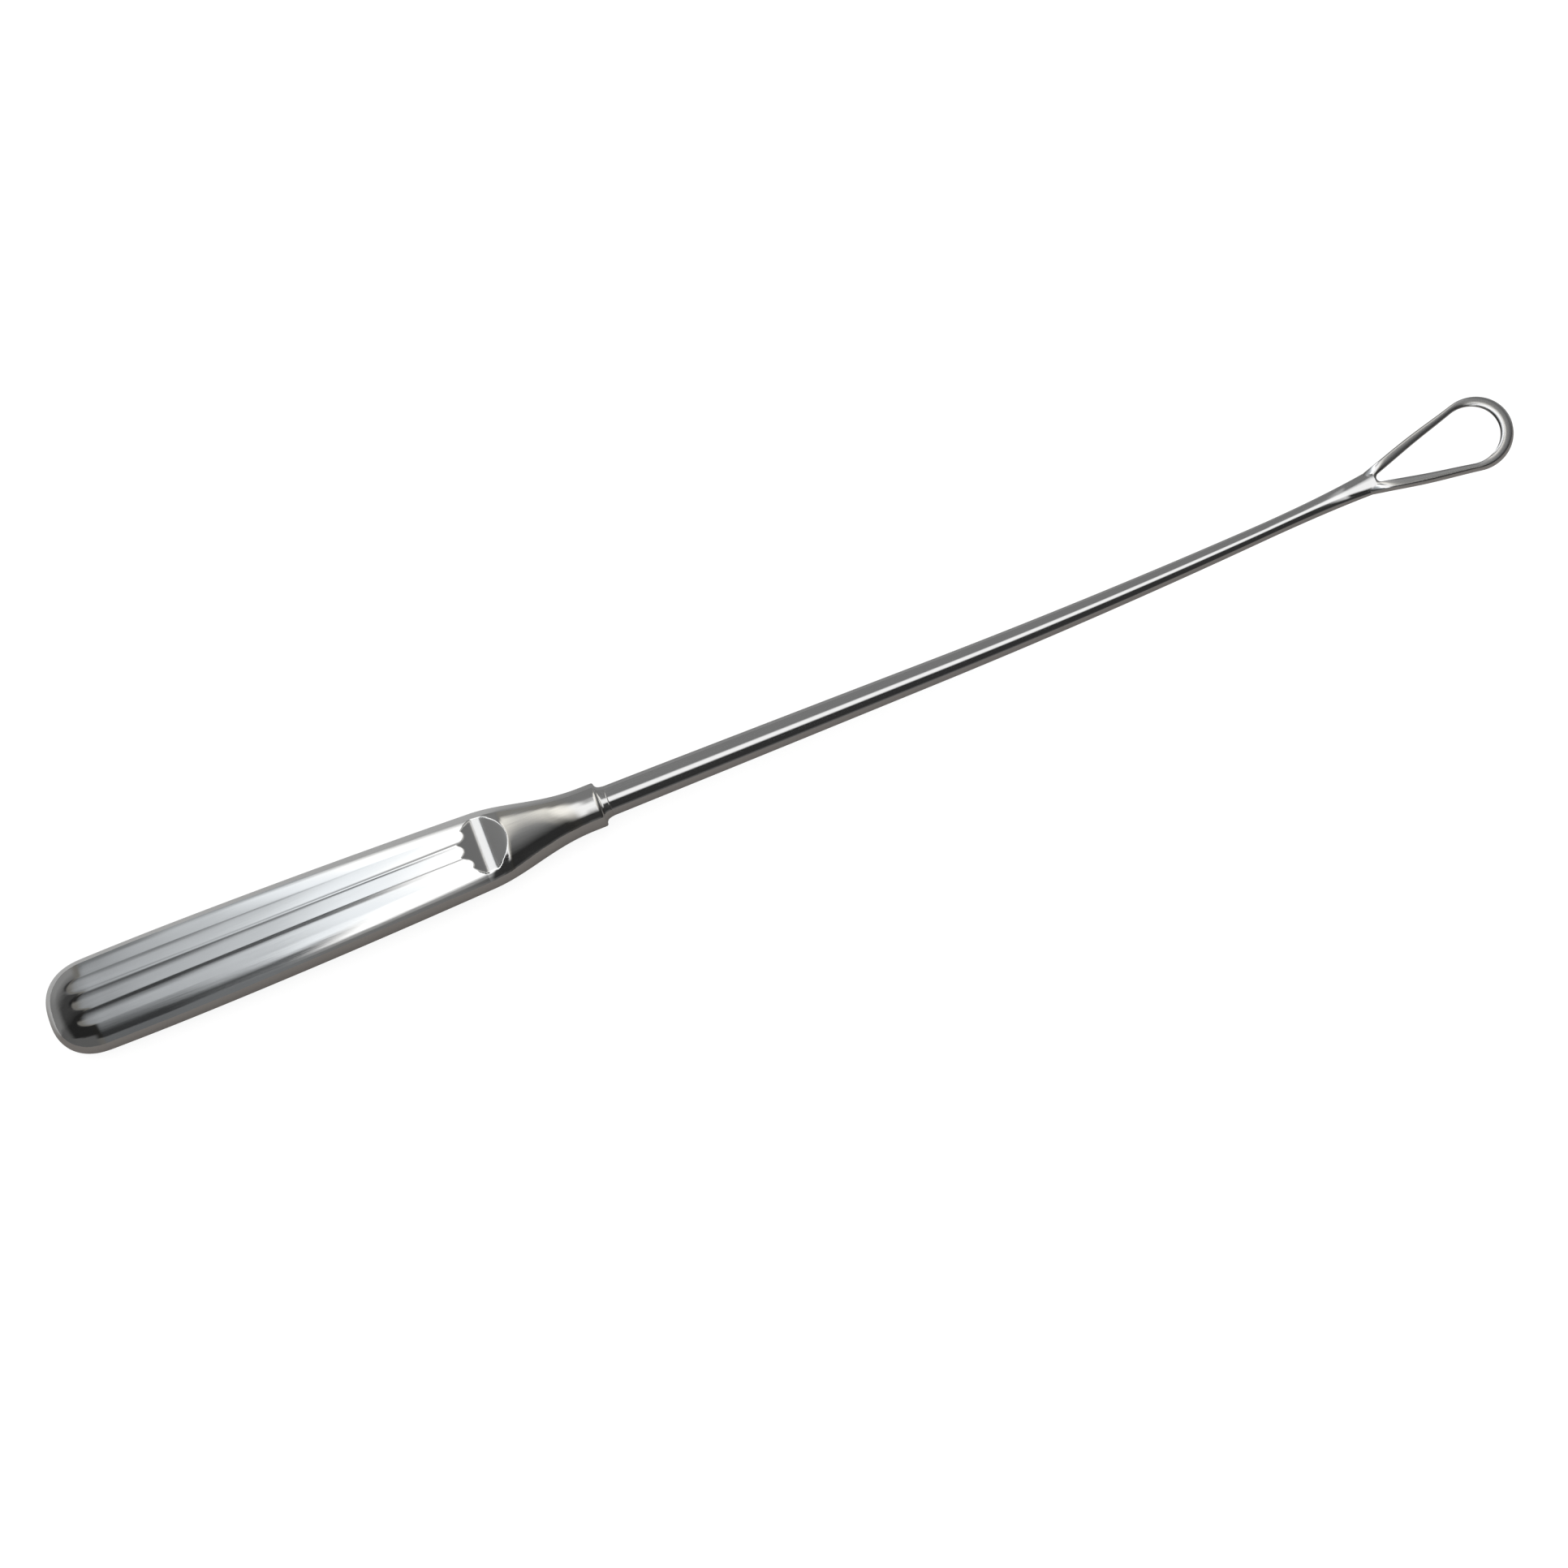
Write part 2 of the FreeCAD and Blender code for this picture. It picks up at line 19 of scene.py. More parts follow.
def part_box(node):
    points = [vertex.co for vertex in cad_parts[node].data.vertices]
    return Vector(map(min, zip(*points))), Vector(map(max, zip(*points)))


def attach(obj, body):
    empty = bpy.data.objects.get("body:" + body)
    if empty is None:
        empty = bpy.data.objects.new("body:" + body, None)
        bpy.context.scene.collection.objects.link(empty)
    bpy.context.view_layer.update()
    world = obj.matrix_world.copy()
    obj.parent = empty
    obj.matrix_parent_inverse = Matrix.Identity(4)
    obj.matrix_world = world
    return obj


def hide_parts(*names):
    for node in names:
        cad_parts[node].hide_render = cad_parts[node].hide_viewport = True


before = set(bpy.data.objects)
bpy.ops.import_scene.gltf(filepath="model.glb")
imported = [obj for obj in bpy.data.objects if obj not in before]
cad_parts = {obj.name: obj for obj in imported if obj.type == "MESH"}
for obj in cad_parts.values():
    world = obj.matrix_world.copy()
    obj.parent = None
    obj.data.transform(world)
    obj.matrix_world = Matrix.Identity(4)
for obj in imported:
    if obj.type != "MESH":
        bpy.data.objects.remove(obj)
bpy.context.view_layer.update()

MM = 0.001
FAR_AWAY = 1000.0
CUT_ATTRIBUTE = "milled"
Socket, Object, Material = bpy.types.NodeSocket, bpy.types.Object, bpy.types.Material
logging.basicConfig(level=logging.INFO, format="%(message)s")
LOG = logging.getLogger("curette")


class Node(str, Enum):
    """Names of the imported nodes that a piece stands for."""

    HANDLE = "handle"
    SHAFT = "shaft"
    BEAD = "solder_bead"


class Slot(str, Enum):
    """Material slots of the record."""

    HANDLE = "handle_steel"
    SHAFT = "shaft_steel"
    SOLDER = "solder"


@dataclass(frozen=True)
class HandleSizes:
    """Driving sizes of the handle, as in the part."""

    length: float = 105.0
    grip_width: float = 17.5
    knee_width: float = 14.6
    collar_radius: float = 4.1
    grip_thickness: float = 8.2
    knee_thickness: float = 9.2
    widest_place: float = 20.0
    neck_length: float = 20.5
    collar_length: float = 2.5
    butt_length: float = 9.2
    butt_rise: float = 9.0
    grip_fullness: float = 2.6
    knee_fullness: float = 2.0
    butt_fullness: float = 2.45
    butt_side_fullness: float = 2.3
    butt_narrowing: float = 0.03
    grip_taper: float = 1.6
    fullness_fade: float = 3.0
    mouth_edge: float = 0.35
    bore_radius: float = 2.84
    bore_depth: float = 16.0

    @property
    def knee(self) -> float:
        """Place where the neck starts."""
        return self.length - self.collar_length - self.neck_length


@dataclass(frozen=True)
class FluteSizes:
    """Sizes of the three flutes in each face."""

    pitch_butt: float = 3.25
    pitch_knee: float = 2.45
    depth: float = 0.38
    count: int = 3
    crest_softness: float = 0.02


@dataclass(frozen=True)
class NotchSizes:
    """Sizes of the thumb notch, and the roughness of its two sides."""

    setback: float = 1.2
    floor: float = 1.9
    depth: float = 1.35
    slope_deg: float = 20.0
    edge_softness: float = 0.025
    corner_softness: float = 0.12
    back_roughness: float = 0.20
    front_roughness: float = 0.50


@dataclass(frozen=True)
class ShaftSizes:
    """Sizes of the shaft and its loop.

    The fork's fullness and fade, and all from the flush gap to the overlap and from the bulges
    on, belong to the looks alone. The other sizes are as in the part.
    """

    rod_diameter: float = 5.6
    waist_diameter: float = 3.0
    straight: float = 64.0
    bend: float = 85.0
    bend_deg: float = 11.5
    flare: float = 20.0
    bead_reach: float = 1.6
    bead_rise: float = 0.85
    bead_gap: float = 0.01
    rod_taper: float = 1.15
    flare_taper: float = 2.4
    fork_fullness: float = 2.5
    fork_fade: float = 4.0
    flush_gap: float = 0.01
    level_from: float = 0.75
    overlap: float = 0.6
    loop_thickness: float = 2.0
    loop_radius: float = 6.75
    loop_reach: float = 19.55
    root_radius: float = 2.2
    eye_radius: float = 5.35
    eye_reach: float = 18.65
    crotch_radius: float = 0.9
    crotch_place: float = 1.8
    loop_rounding: float = 0.6
    bevel_width: float = 0.7
    bevel_height: float = 1.3
    outer_bulge: float = 0.2
    inner_bulge: float = 0.1
    dome: float = 0.22
    satin: float = 0.17
    satin_from: float = 3.5
    sunk: float = 0.78
    sunk_from: float = 1.6
    sunk_run: float = 3.2

    @property
    def fork(self) -> float:
        """Place of the fork past the collar's mouth."""
        return self.straight + self.bend

    @property
    def waist(self) -> float:
        """Place of the thinnest section past the collar's mouth."""
        return self.fork - self.flare


@dataclass(frozen=True)
class SteelFinish:
    """One procedural steel finish.

    Attributes:
        name: Material name.
        colour: Linear reflectance.
        roughness: Lowest and highest roughness of the polish.
        streak_scale: Size of the polishing streaks along and across, in 1/m.
        bump: Height of the polishing marks in metres.
        lean: Places along the instrument in millimetres and the lean of the faces there.
        sway: Places in millimetres between which a lean across sets in, and that lean.
        milled: True where the points carry a roughness of their own.
        keep: Share of a face's turn toward the instrument's ends that shows.
    """

    name: str
    colour: tuple[float, float, float]
    roughness: tuple[float, float]
    streak_scale: tuple[float, float, float]
    bump: float
    lean: tuple[tuple[float, float], ...]
    sway: tuple[float, float, float] = (0.0, 1.0, 0.0)
    milled: bool = False
    keep: float = 1.0


HANDLE_FINISH = SteelFinish(
    "polished_grip_steel", (0.60, 0.60, 0.595), (0.035, 0.085), (90.0, 2400.0, 2400.0),
    0.000008, ((-139.6, -0.02), (-137.6, -0.06), (-136.0, -0.09), (-134.4, -0.05),
    (-133.0, -0.015), (-131.0, 0.0), (-127.0, 0.0), (-57.0, 0.0), (-53.5, 0.0), (-51.5, 0.13),
    (-46.0, 0.125), (-42.7, 0.10), (-40.0, 0.085), (-37.5, 0.072), (-34.0, 0.072)), milled=True)
SHAFT_FINISH = SteelFinish(
    "polished_shaft_steel", (0.60, 0.60, 0.60), (0.03, 0.06), (90.0, 2400.0, 2400.0), 0.0000008,
    ((-50.0, 0.03), (-34.0, 0.03), (-15.0, 0.012), (0.0, 0.0), (28.0, -0.015), (44.0, 0.003),
    (60.0, 0.02), (88.0, 0.056), (98.6, 0.064), (103.6, 0.057), (108.6, 0.047), (111.2, 0.066),
    (113.5, 0.092), (115.5, 0.12), (119.0, 0.24), (124.0, 0.24), (140.0, 0.24)),
    sway=(92.0, 112.0, -0.14), milled=True)
SOLDER_FINISH = SteelFinish(
    "solder_metal", (0.58, 0.58, 0.575), (0.05, 0.10), (900.0, 900.0, 900.0), 0.000001,
    ((-40.0, 0.03), (-30.0, 0.03)), keep=0.04)

HANDLE = HandleSizes()
FLUTES = FluteSizes()
NOTCH = NotchSizes()
SHAFT = ShaftSizes()


class Laying:
    """Moves points from the modelling frame (butt at 0) onto the table."""

    SAMPLES = 1051

    def __init__(self) -> None:
        slope = math.atan((HANDLE.knee_thickness - HANDLE.grip_thickness) / 2 / HANDLE.knee)
        self.turn = Matrix.Rotation(-slope, 3, "Y")
        low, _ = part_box(Node.HANDLE.value)
        self.shift = Vector((low.x / MM, 0.0, self._lift(slope)))

    @staticmethod
    def _lift(slope: float) -> float:
        """Return how far the laid handle is lifted so that its lowest point is at zero."""
        places = np.linspace(0.0, HANDLE.length, Laying.SAMPLES)
        _, thickness, _ = handle_oval(places)
        heights = places * math.sin(slope) - thickness * math.cos(slope)
        return -float(heights.min())

    def lay(self, piece: Object) -> None:
        """Move a piece's mesh from the modelling frame in millimetres onto the table.

        Args:
            piece: The object, with its mesh in millimetres.
        """
        matrix = Matrix.Translation(self.shift) @ self.turn.to_4x4()
        piece.data.transform(Matrix.Scale(MM, 4) @ matrix)


def rounded_end(place: np.ndarray, length: float, fullness: float) -> np.ndarray:
    """Return the share of the full size at a distance from a rounded end."""
    rest = np.clip(1.0 - place / length, 0.0, 1.0)
    return (1.0 - rest ** fullness) ** (1.0 / fullness)


def handle_oval(place: np.ndarray) -> tuple[np.ndarray, np.ndarray, np.ndarray]:
    """Return half width, half thickness and fullness of the handle's sections.

    Args:
        place: Places along the handle from the butt.

    Returns:
        Three arrays of the same length.
    """
    h = HANDLE
    step = np.clip((place - h.knee) / h.neck_length, 0.0, 1.0)
    blend = 0.5 - 0.5 * np.cos(np.pi * step)
    run = np.maximum(place - h.widest_place, 0.0) / (h.knee - h.widest_place)
    lead = np.maximum(h.widest_place - place, 0.0) / h.widest_place
    width = h.grip_width - (h.grip_width - h.knee_width) * run ** h.grip_taper
    width = width - h.butt_narrowing * h.grip_width * lead ** 2
    share = np.clip(place / h.knee, 0.0, 1.0)
    thick = h.grip_thickness + (h.knee_thickness - h.grip_thickness) * share
    half_width = width / 2 * (1 - blend) + h.collar_radius * blend
    half_thick = thick / 2 * (1 - blend) + h.collar_radius * blend
    fullness = h.grip_fullness + (h.knee_fullness - h.grip_fullness) * share ** h.fullness_fade
    half_width = half_width * rounded_end(place, h.butt_length, h.butt_fullness)
    half_thick = half_thick * rounded_end(place, h.butt_rise, h.butt_side_fullness)
    return half_width, half_thick, fullness


def circle(place: float, radius: float, angle: np.ndarray) -> np.ndarray:
    """Return points around the instrument's axis at a place along it."""
    return np.stack([np.full(angle.size, place), radius * np.cos(angle),
                     radius * np.sin(angle)], -1)


def link_mesh(name: str, vertices: np.ndarray, faces: Sequence[Sequence[int]],
              edges: Sequence[Sequence[int]] = ()) -> Object:
    """Make a smooth mesh object in the scene.

    Args:
        name: Object name.
        vertices: Points.
        faces: Vertex numbers of each face.
        edges: Vertex numbers of each loose edge.

    Returns:
        The linked object.
    """
    mesh = bpy.data.meshes.new(name)
    mesh.from_pydata(vertices.tolist(), edges, faces)
    mesh.validate()
    mesh.shade_smooth()
    piece = bpy.data.objects.new(name, mesh)
    bpy.context.collection.objects.link(piece)
    return piece


def ring_faces(rows: int, columns: int, closed: bool = False) -> list[tuple[int, ...]]:
    """Return the faces between consecutive rings of points.

    Args:
        rows: Number of rings.
        columns: Number of points in a ring.
        closed: True where the last ring meets the first.

    Returns:
        Four vertex numbers for each face.
    """
    starts = [row * columns for row in range(rows)]
    ends = starts[1:] + ([0] if closed else [])
    return [(near + k, near + (k + 1) % columns, far + (k + 1) % columns, far + k)
            for near, far in zip(starts, ends) for k in range(columns)]


class Fields:
    """Writes the nodes of a tree, with their inputs linked or set."""

    def __init__(self, tree: bpy.types.NodeTree) -> None:
        self.nodes = tree.nodes
        self.links = tree.links

    def put(self, socket: Socket, value: object) -> None:
        """Link or set one input."""
        if isinstance(value, Socket):
            self.links.new(value, socket)
        else:
            socket.default_value = value

    def node(self, kind: str, **inputs: object) -> bpy.types.Node:
        """Return a new node with some inputs linked or set by name."""
        node = self.nodes.new(kind)
        for name, value in inputs.items():
            self.put(node.inputs[name.replace("_", " ")], value)
        return node

    def row(self, kind: str, *values: object, **settings: str) -> Socket:
        """Return the first output of a new node.

        Args:
            kind: Type of the node.
            values: Sockets or values of its first inputs.
            settings: Its properties.

        Returns:
            The output's socket.
        """
        node = self.nodes.new(kind)
        for name, setting in settings.items():
            setattr(node, name, setting)
        for socket, value in zip(node.inputs, values):
            self.put(socket, value)
        return node.outputs[0]

    def calc(self, operation: str, *values: object) -> Socket:
        """Return the result of one sum of sockets or numbers."""
        return self.row("ShaderNodeMath", *values, operation=operation)

    def mix(self, first: object, second: object, share: object) -> Socket:
        """Return the value at a share of the way from the first to the second."""
        return self.calc("MULTIPLY_ADD", self.calc("SUBTRACT", second, first), share, first)

    def split(self, vector: Socket) -> list[Socket]:
        """Return the three parts of a vector."""
        return list(self.node("ShaderNodeSeparateXYZ", Vector=vector).outputs)

    def vector(self, x: object, y: object, z: object) -> Socket:
        """Return a vector of three values."""
        return self.row("ShaderNodeCombineXYZ", x, y, z)

    def spread(self, value: Socket, low: float, high: float,
               to: tuple[float, float] = (0.0, 1.0), kind: str = "LINEAR") -> Socket:
        """Return a value carried from the span between low and high over to another."""
        node = self.node("ShaderNodeMapRange", Value=value, From_Min=low, From_Max=high,
                         To_Min=to[0], To_Max=to[1])
        node.interpolation_type = kind
        return node.outputs["Result"]

    def blend(self, first: object, second: object, share: object) -> Socket:
        """Return the colour at a share of the way from the first to the second."""
        node = self.nodes.new("ShaderNodeMix")
        node.data_type = "RGBA"
        for name, value in (("A", first), ("B", second), ("Factor", share)):
            self.put(node.inputs[name], value)
        return node.outputs["Result"]

    def soft_step(self, share: object) -> Socket:
        """Return a ramp that starts softly: near 0 below zero, and the share itself above."""
        grown = self.calc("ADD", self.calc("EXPONENT", share), 1.0)
        return self.calc("LOGARITHM", grown, math.e)

    def soft_min(self, first: object, second: object, softness: object) -> Socket:
        """Return the smaller of two heights with a rounded meeting."""
        low = self.calc("MINIMUM", first, second)
        gap = self.calc("ABSOLUTE", self.calc("SUBTRACT", first, second))
        share = self.calc("DIVIDE", self.calc("MULTIPLY", gap, -1.0), softness)
        return self.calc("SUBTRACT", low, self.calc("MULTIPLY", self.soft_step(share), softness))


class ShapeTree(Fields):
    """A tree of Geometry Nodes with named inputs, ended and baked in one way."""

    KINDS = {float: "NodeSocketFloat", int: "NodeSocketInt", tuple: "NodeSocketVector",
             Material: "NodeSocketMaterial"}

    def __init__(self, name: str, values: dict[str, object]) -> None:
        self.tree = bpy.data.node_groups.new(name, "GeometryNodeTree")
        super().__init__(self.tree)
        self.values = values
        face = self.tree.interface
        face.new_socket("Geometry", in_out="INPUT", socket_type="NodeSocketGeometry")
        face.new_socket("Geometry", in_out="OUTPUT", socket_type="NodeSocketGeometry")
        for label, value in values.items():
            face.new_socket(label, in_out="INPUT", socket_type=self.KINDS[type(value)])
        self.inputs = self.nodes.new("NodeGroupInput").outputs

    def position(self) -> Socket:
        """Return the position field."""
        return self.node("GeometryNodeInputPosition").outputs[0]

    def attribute(self, name: str, kind: str = "FLOAT") -> Socket:
        """Return a stored field."""
        return self.row("GeometryNodeInputNamedAttribute", name, data_type=kind)

    def store(self, geometry: Socket, name: str, value: Socket,
              kind: str = "FLOAT") -> Socket:
        """Store a field on the points and return the geometry."""
        return self.row("GeometryNodeStoreNamedAttribute", geometry, True, name, value,
                        data_type=kind, domain="POINT")

    def bake(self, geometry: Socket, piece: Object) -> None:
        """End the tree, run it on a piece and keep the result as a plain mesh.

        Args:
            geometry: The tree's last geometry.
            piece: The object that it runs on.
        """
        real = self.node("GeometryNodeRealizeInstances", Geometry=geometry)
        dressed = self.node("GeometryNodeSetMaterial", Geometry=real.outputs[0],
                            Material=self.inputs["Material"])
        end = self.nodes.new("NodeGroupOutput")
        self.links.new(dressed.outputs[0], end.inputs["Geometry"])
        modifier = piece.modifiers.new(self.tree.name, "NODES")
        modifier.node_group = self.tree
        for item in self.tree.interface.items_tree:
            if item.in_out == "INPUT" and item.name in self.values:
                modifier[item.identifier] = self.values[item.name]
        graph = bpy.context.evaluated_depsgraph_get()
        mesh = bpy.data.meshes.new_from_object(piece.evaluated_get(graph))
        piece.modifiers.clear()
        piece.data = mesh
        mesh.shade_smooth()
        LOG.info("%s: %d faces", piece.name, len(mesh.polygons))


class HandleShape:
    """Surface of the handle: oval, flutes, notch, neck, mouth and bore."""

    EDGE_STEPS = 20
    FLUTE_STEPS = 20
    SHOULDER = 1.75
    CREST = 1.5
    CREST_STEP = 0.05
    CREST_STEPS = 5
    FIRST_TURN = 0.03
    BUTT_ROWS = 46
    SPAN_ROWS = (56, 176, 26, 6)
    MOUTH_STEPS = 7
    NOTCH_MARGIN = 0.3
    STEEPEST_EXPONENT = 50.0
    MILLED_MARGIN = 0.01
    UPPER_FACE = 0.5
    WIDEST_PITCH = 0.46
    CUTTERS = ("Middle cutter butt", "Middle cutter knee", "Side cutter butt", "Side cutter knee")

    def columns(self) -> tuple[np.ndarray, np.ndarray]:
        """Return shares of the flute pitch and of the edge turn for the upper face."""
        turn = np.linspace(0.0, 1.0, self.EDGE_STEPS + 1)[:-1]
        inside = [self.SHOULDER - self.CREST_STEP * step for step in range(self.CREST_STEPS)]
        for low in (0.5, -0.5, -1.5):
            part = np.arange(self.FLUTE_STEPS) / self.FLUTE_STEPS
            inside += list(low + 1.0 - (1 - np.cos(np.pi * part)) / 2)
        inside += [-self.CREST - self.CREST_STEP * step for step in range(self.CREST_STEPS + 1)]
        pitch = np.concatenate([np.full(turn.size, self.SHOULDER), inside,
                                np.full(turn.size, -self.SHOULDER)])
        edge = np.concatenate([turn, np.ones(len(inside)), turn[::-1]])
        return pitch, edge

    def rows(self) -> np.ndarray:
        """Return the places of the rings, dense at the butt, the notch and the mouth."""
        h = HANDLE
        middle = h.knee + NOTCH.setback
        slope = math.tan(math.radians(NOTCH.slope_deg))
        reach = NOTCH.floor / 2 + (NOTCH.depth + self.NOTCH_MARGIN) / slope
        turn = np.linspace(self.FIRST_TURN, np.pi / 2, self.BUTT_ROWS)
        stops = (h.butt_length, middle - reach, middle + reach, h.length - h.collar_length,
                 h.length - h.mouth_edge)
        spans = [np.linspace(low, high, count)[1:]
                 for low, high, count in zip(stops, stops[1:], self.SPAN_ROWS)]
        return np.concatenate([h.butt_length * (1 - np.cos(turn))] + spans)

    @staticmethod
    def cutter(place: float, column: float, pitch: float) -> tuple[float, float, float]:
        """Return a flute cutter's distance across, height and radius at one end.

        Args:
            place: Place of the section that the cutter touches.
            column: Number of pitches from the middle.
            pitch: Distance between the flutes there.

        Returns:
            The three lengths.
        """
        radius = (pitch * pitch / 4 + FLUTES.depth ** 2) / (2 * FLUTES.depth)
        half_width, half_thick, fullness = (float(v[0]) for v in handle_oval(np.array([place])))
        share = column * pitch / half_width
        height = half_thick * (1 - share ** fullness) ** (1 / fullness)
        tilt = math.atan(half_thick / half_width * (share * half_thick / height) ** (fullness - 1))
        lift = radius - FLUTES.depth
        return column * pitch + lift * math.sin(tilt), height + lift * math.cos(tilt), radius

    def cut(self, piece: Object, material: Material) -> None:
        """Cut the flutes into both faces and the notch into the upper one.

        Args:
            piece: The plain oval handle, in millimetres.
            material: Its steel.
        """
        h, f, n = HANDLE, FLUTES, NOTCH
        cutters = [self.cutter(place, column, pitch) for column in (0.0, 1.0)
                   for place, pitch in ((h.butt_rise, f.pitch_butt), (h.knee, f.pitch_knee))]
        tree = ShapeTree("flutes_and_notch", {
            "Flutes": f.count, **dict(zip(self.CUTTERS, cutters)),
            "Knee": h.knee, "Crest softness": f.crest_softness,
            "Notch place": h.knee + n.setback, "Notch floor": n.floor,
            "Notch level": h.knee_thickness / 2 - n.depth,
            "Notch slope": math.tan(math.radians(n.slope_deg)),
            "Corner softness": n.corner_softness, "Edge softness": n.edge_softness,
            "Back roughness": n.back_roughness, "Front roughness": n.front_roughness,
            "Material": material})
        grooved = self.flutes(tree, tree.inputs["Geometry"])
        tree.bake(self.notch(tree, grooved), piece)

    @staticmethod
    def flutes(tree: ShapeTree, geometry: Socket) -> Socket:
        """Return the geometry with its flutes, one for each round of a repeat."""
        size = tree.inputs
        first = tree.nodes.new("GeometryNodeRepeatInput")
        last = tree.nodes.new("GeometryNodeRepeatOutput")
        first.pair_with_output(last)
        tree.put(first.inputs["Iterations"], size["Flutes"])
        tree.put(first.inputs["Geometry"], geometry)
        middle = tree.calc("DIVIDE", tree.calc("SUBTRACT", size["Flutes"], 1.0), 2.0)
        column = tree.calc("SUBTRACT", first.outputs["Iteration"], middle)
        outer = tree.calc("ABSOLUTE", column)
        x, y, z = tree.split(tree.position())
        part = tree.calc("MINIMUM", tree.calc("DIVIDE", x, size["Knee"]), 1.0)
        ends = [tree.split(size[name]) for name in HandleShape.CUTTERS]
        across, height, radius = (tree.mix(tree.mix(a, b, part), tree.mix(c, d, part), outer)
                                  for a, b, c, d in zip(*ends))
        across = tree.calc("MULTIPLY", across, tree.calc("SIGN", column))
        past = tree.calc("MAXIMUM", tree.calc("SUBTRACT", x, size["Knee"]), 0.0)
        aside = tree.calc("SUBTRACT", y, across)
        room = tree.calc("MULTIPLY", radius, radius)
        for reach in (aside, past):
            room = tree.calc("SUBTRACT", room, tree.calc("MULTIPLY", reach, reach))
        floor = tree.calc("SUBTRACT", height, tree.calc("SQRT", tree.calc("MAXIMUM", room, 0.0)))
        floor = tree.calc("MULTIPLY_ADD", tree.calc("LESS_THAN", room, 0.0), FAR_AWAY, floor)
        face = tree.calc("SIGN", z)
        cut = tree.soft_min(tree.calc("ABSOLUTE", z), floor, size["Crest softness"])
        cut = tree.calc("MAXIMUM", cut, 0.0)
        moved = tree.node("GeometryNodeSetPosition", Geometry=first.outputs["Geometry"],
                          Position=tree.vector(x, y, tree.calc("MULTIPLY", cut, face)))
        tree.put(last.inputs["Geometry"], moved.outputs[0])
        return last.outputs["Geometry"]

    @staticmethod
    def notch(tree: ShapeTree, geometry: Socket) -> Socket:
        """Return the geometry with the thumb notch, and the notch's roughness on its points."""
        size = tree.inputs
        x, y, z = tree.split(tree.position())
        offset = tree.calc("SUBTRACT", x, size["Notch place"])
        edge = tree.calc("DIVIDE", size["Notch floor"], 2.0)
        away = tree.calc("SUBTRACT", tree.calc("ABSOLUTE", offset), edge)
        share = tree.calc("DIVIDE", away, size["Corner softness"])
        share = tree.calc("MINIMUM", share, HandleShape.STEEPEST_EXPONENT)
        ramp = tree.calc("MULTIPLY", tree.soft_step(share), size["Corner softness"])
        floor = tree.calc("MULTIPLY_ADD", ramp, size["Notch slope"], size["Notch level"])
        front = tree.calc("GREATER_THAN", offset, edge)
        rough = tree.mix(size["Back roughness"], size["Front roughness"], front)
        milled = tree.calc("LESS_THAN", floor, tree.calc("ADD", z, HandleShape.MILLED_MARGIN))
        marked = tree.store(geometry, CUT_ATTRIBUTE, tree.calc("MULTIPLY", rough, milled))
        cut = tree.soft_min(z, floor, size["Edge softness"])
        moved = tree.node("GeometryNodeSetPosition", Geometry=marked,
                          Selection=tree.calc("GREATER_THAN", z, HandleShape.UPPER_FACE),
                          Position=tree.vector(x, y, cut))
        return moved.outputs[0]

    def half(self, places: np.ndarray) -> np.ndarray:
        """Return the grid of one plain face, from the far edge to the near edge.

        Args:
            places: Places of the rings.

        Returns:
            Array rows x columns x 3 in the modelling frame, with the face upward.
        """
        pitch_share, edge = self.columns()
        half_width, half_thick, fullness = (v[:, None] for v in handle_oval(places))
        run = np.clip(places / HANDLE.knee, 0.0, None)[:, None]
        pitch = FLUTES.pitch_butt + (FLUTES.pitch_knee - FLUTES.pitch_butt) * run
        pitch = np.minimum(pitch, self.WIDEST_PITCH * half_width)
        inner = np.abs(pitch_share)[None, :] * pitch / half_width
        turn = np.arccos(np.clip(inner ** (fullness / 2), 0.0, 1.0)) * edge[None, :]
        across = half_width * np.cos(turn) ** (2 / fullness) * np.sign(pitch_share)[None, :]
        height = half_thick * np.sin(turn) ** (2 / fullness)
        across = np.where(np.abs(pitch_share)[None, :] < 1e-9, 0.0, across)
        x = np.broadcast_to(places[:, None], across.shape)
        return np.stack([x, across, height], -1)

    def build(self, material: Material) -> Object:
        """Make the handle's mesh.

        Args:
            material: The handle's steel.

        Returns:
            The object, in the modelling frame.
        """
        h = HANDLE
        places = self.rows()
        upper = self.half(places)
        lower = upper[:, ::-1] * np.array([1.0, 1.0, -1.0])
        rings = np.concatenate([upper, lower[:, 1:-1]], axis=1)
        rows, columns, _ = rings.shape
        angle = np.arctan2(rings[-1][:, 2], rings[-1][:, 1])
        edge = h.mouth_edge
        mouth = [circle(h.length - edge + edge * math.sin(a),
                        h.collar_radius - edge * (1 - math.cos(a)), angle)
                 for a in np.linspace(0, np.pi / 2, self.MOUTH_STEPS)[1:]]
        mouth += [circle(h.length - depth, h.bore_radius, angle) for depth in (0.0, h.bore_depth)]
        points = np.concatenate([rings.reshape(-1, 3)] + mouth)
        count = rows + len(mouth)
        faces = ring_faces(count, columns)
        points = np.concatenate([points, [[0.0, 0.0, 0.0], [h.length - h.bore_depth, 0.0, 0.0]]])
        tip, end = len(points) - 2, len(points) - 1
        last = (count - 1) * columns
        for column in range(columns):
            following = (column + 1) % columns
            faces.append((tip, following, column))
            faces.append((end, last + column, last + following))
        piece = link_mesh("grip", points, faces)
        self.cut(piece, material)
        return piece


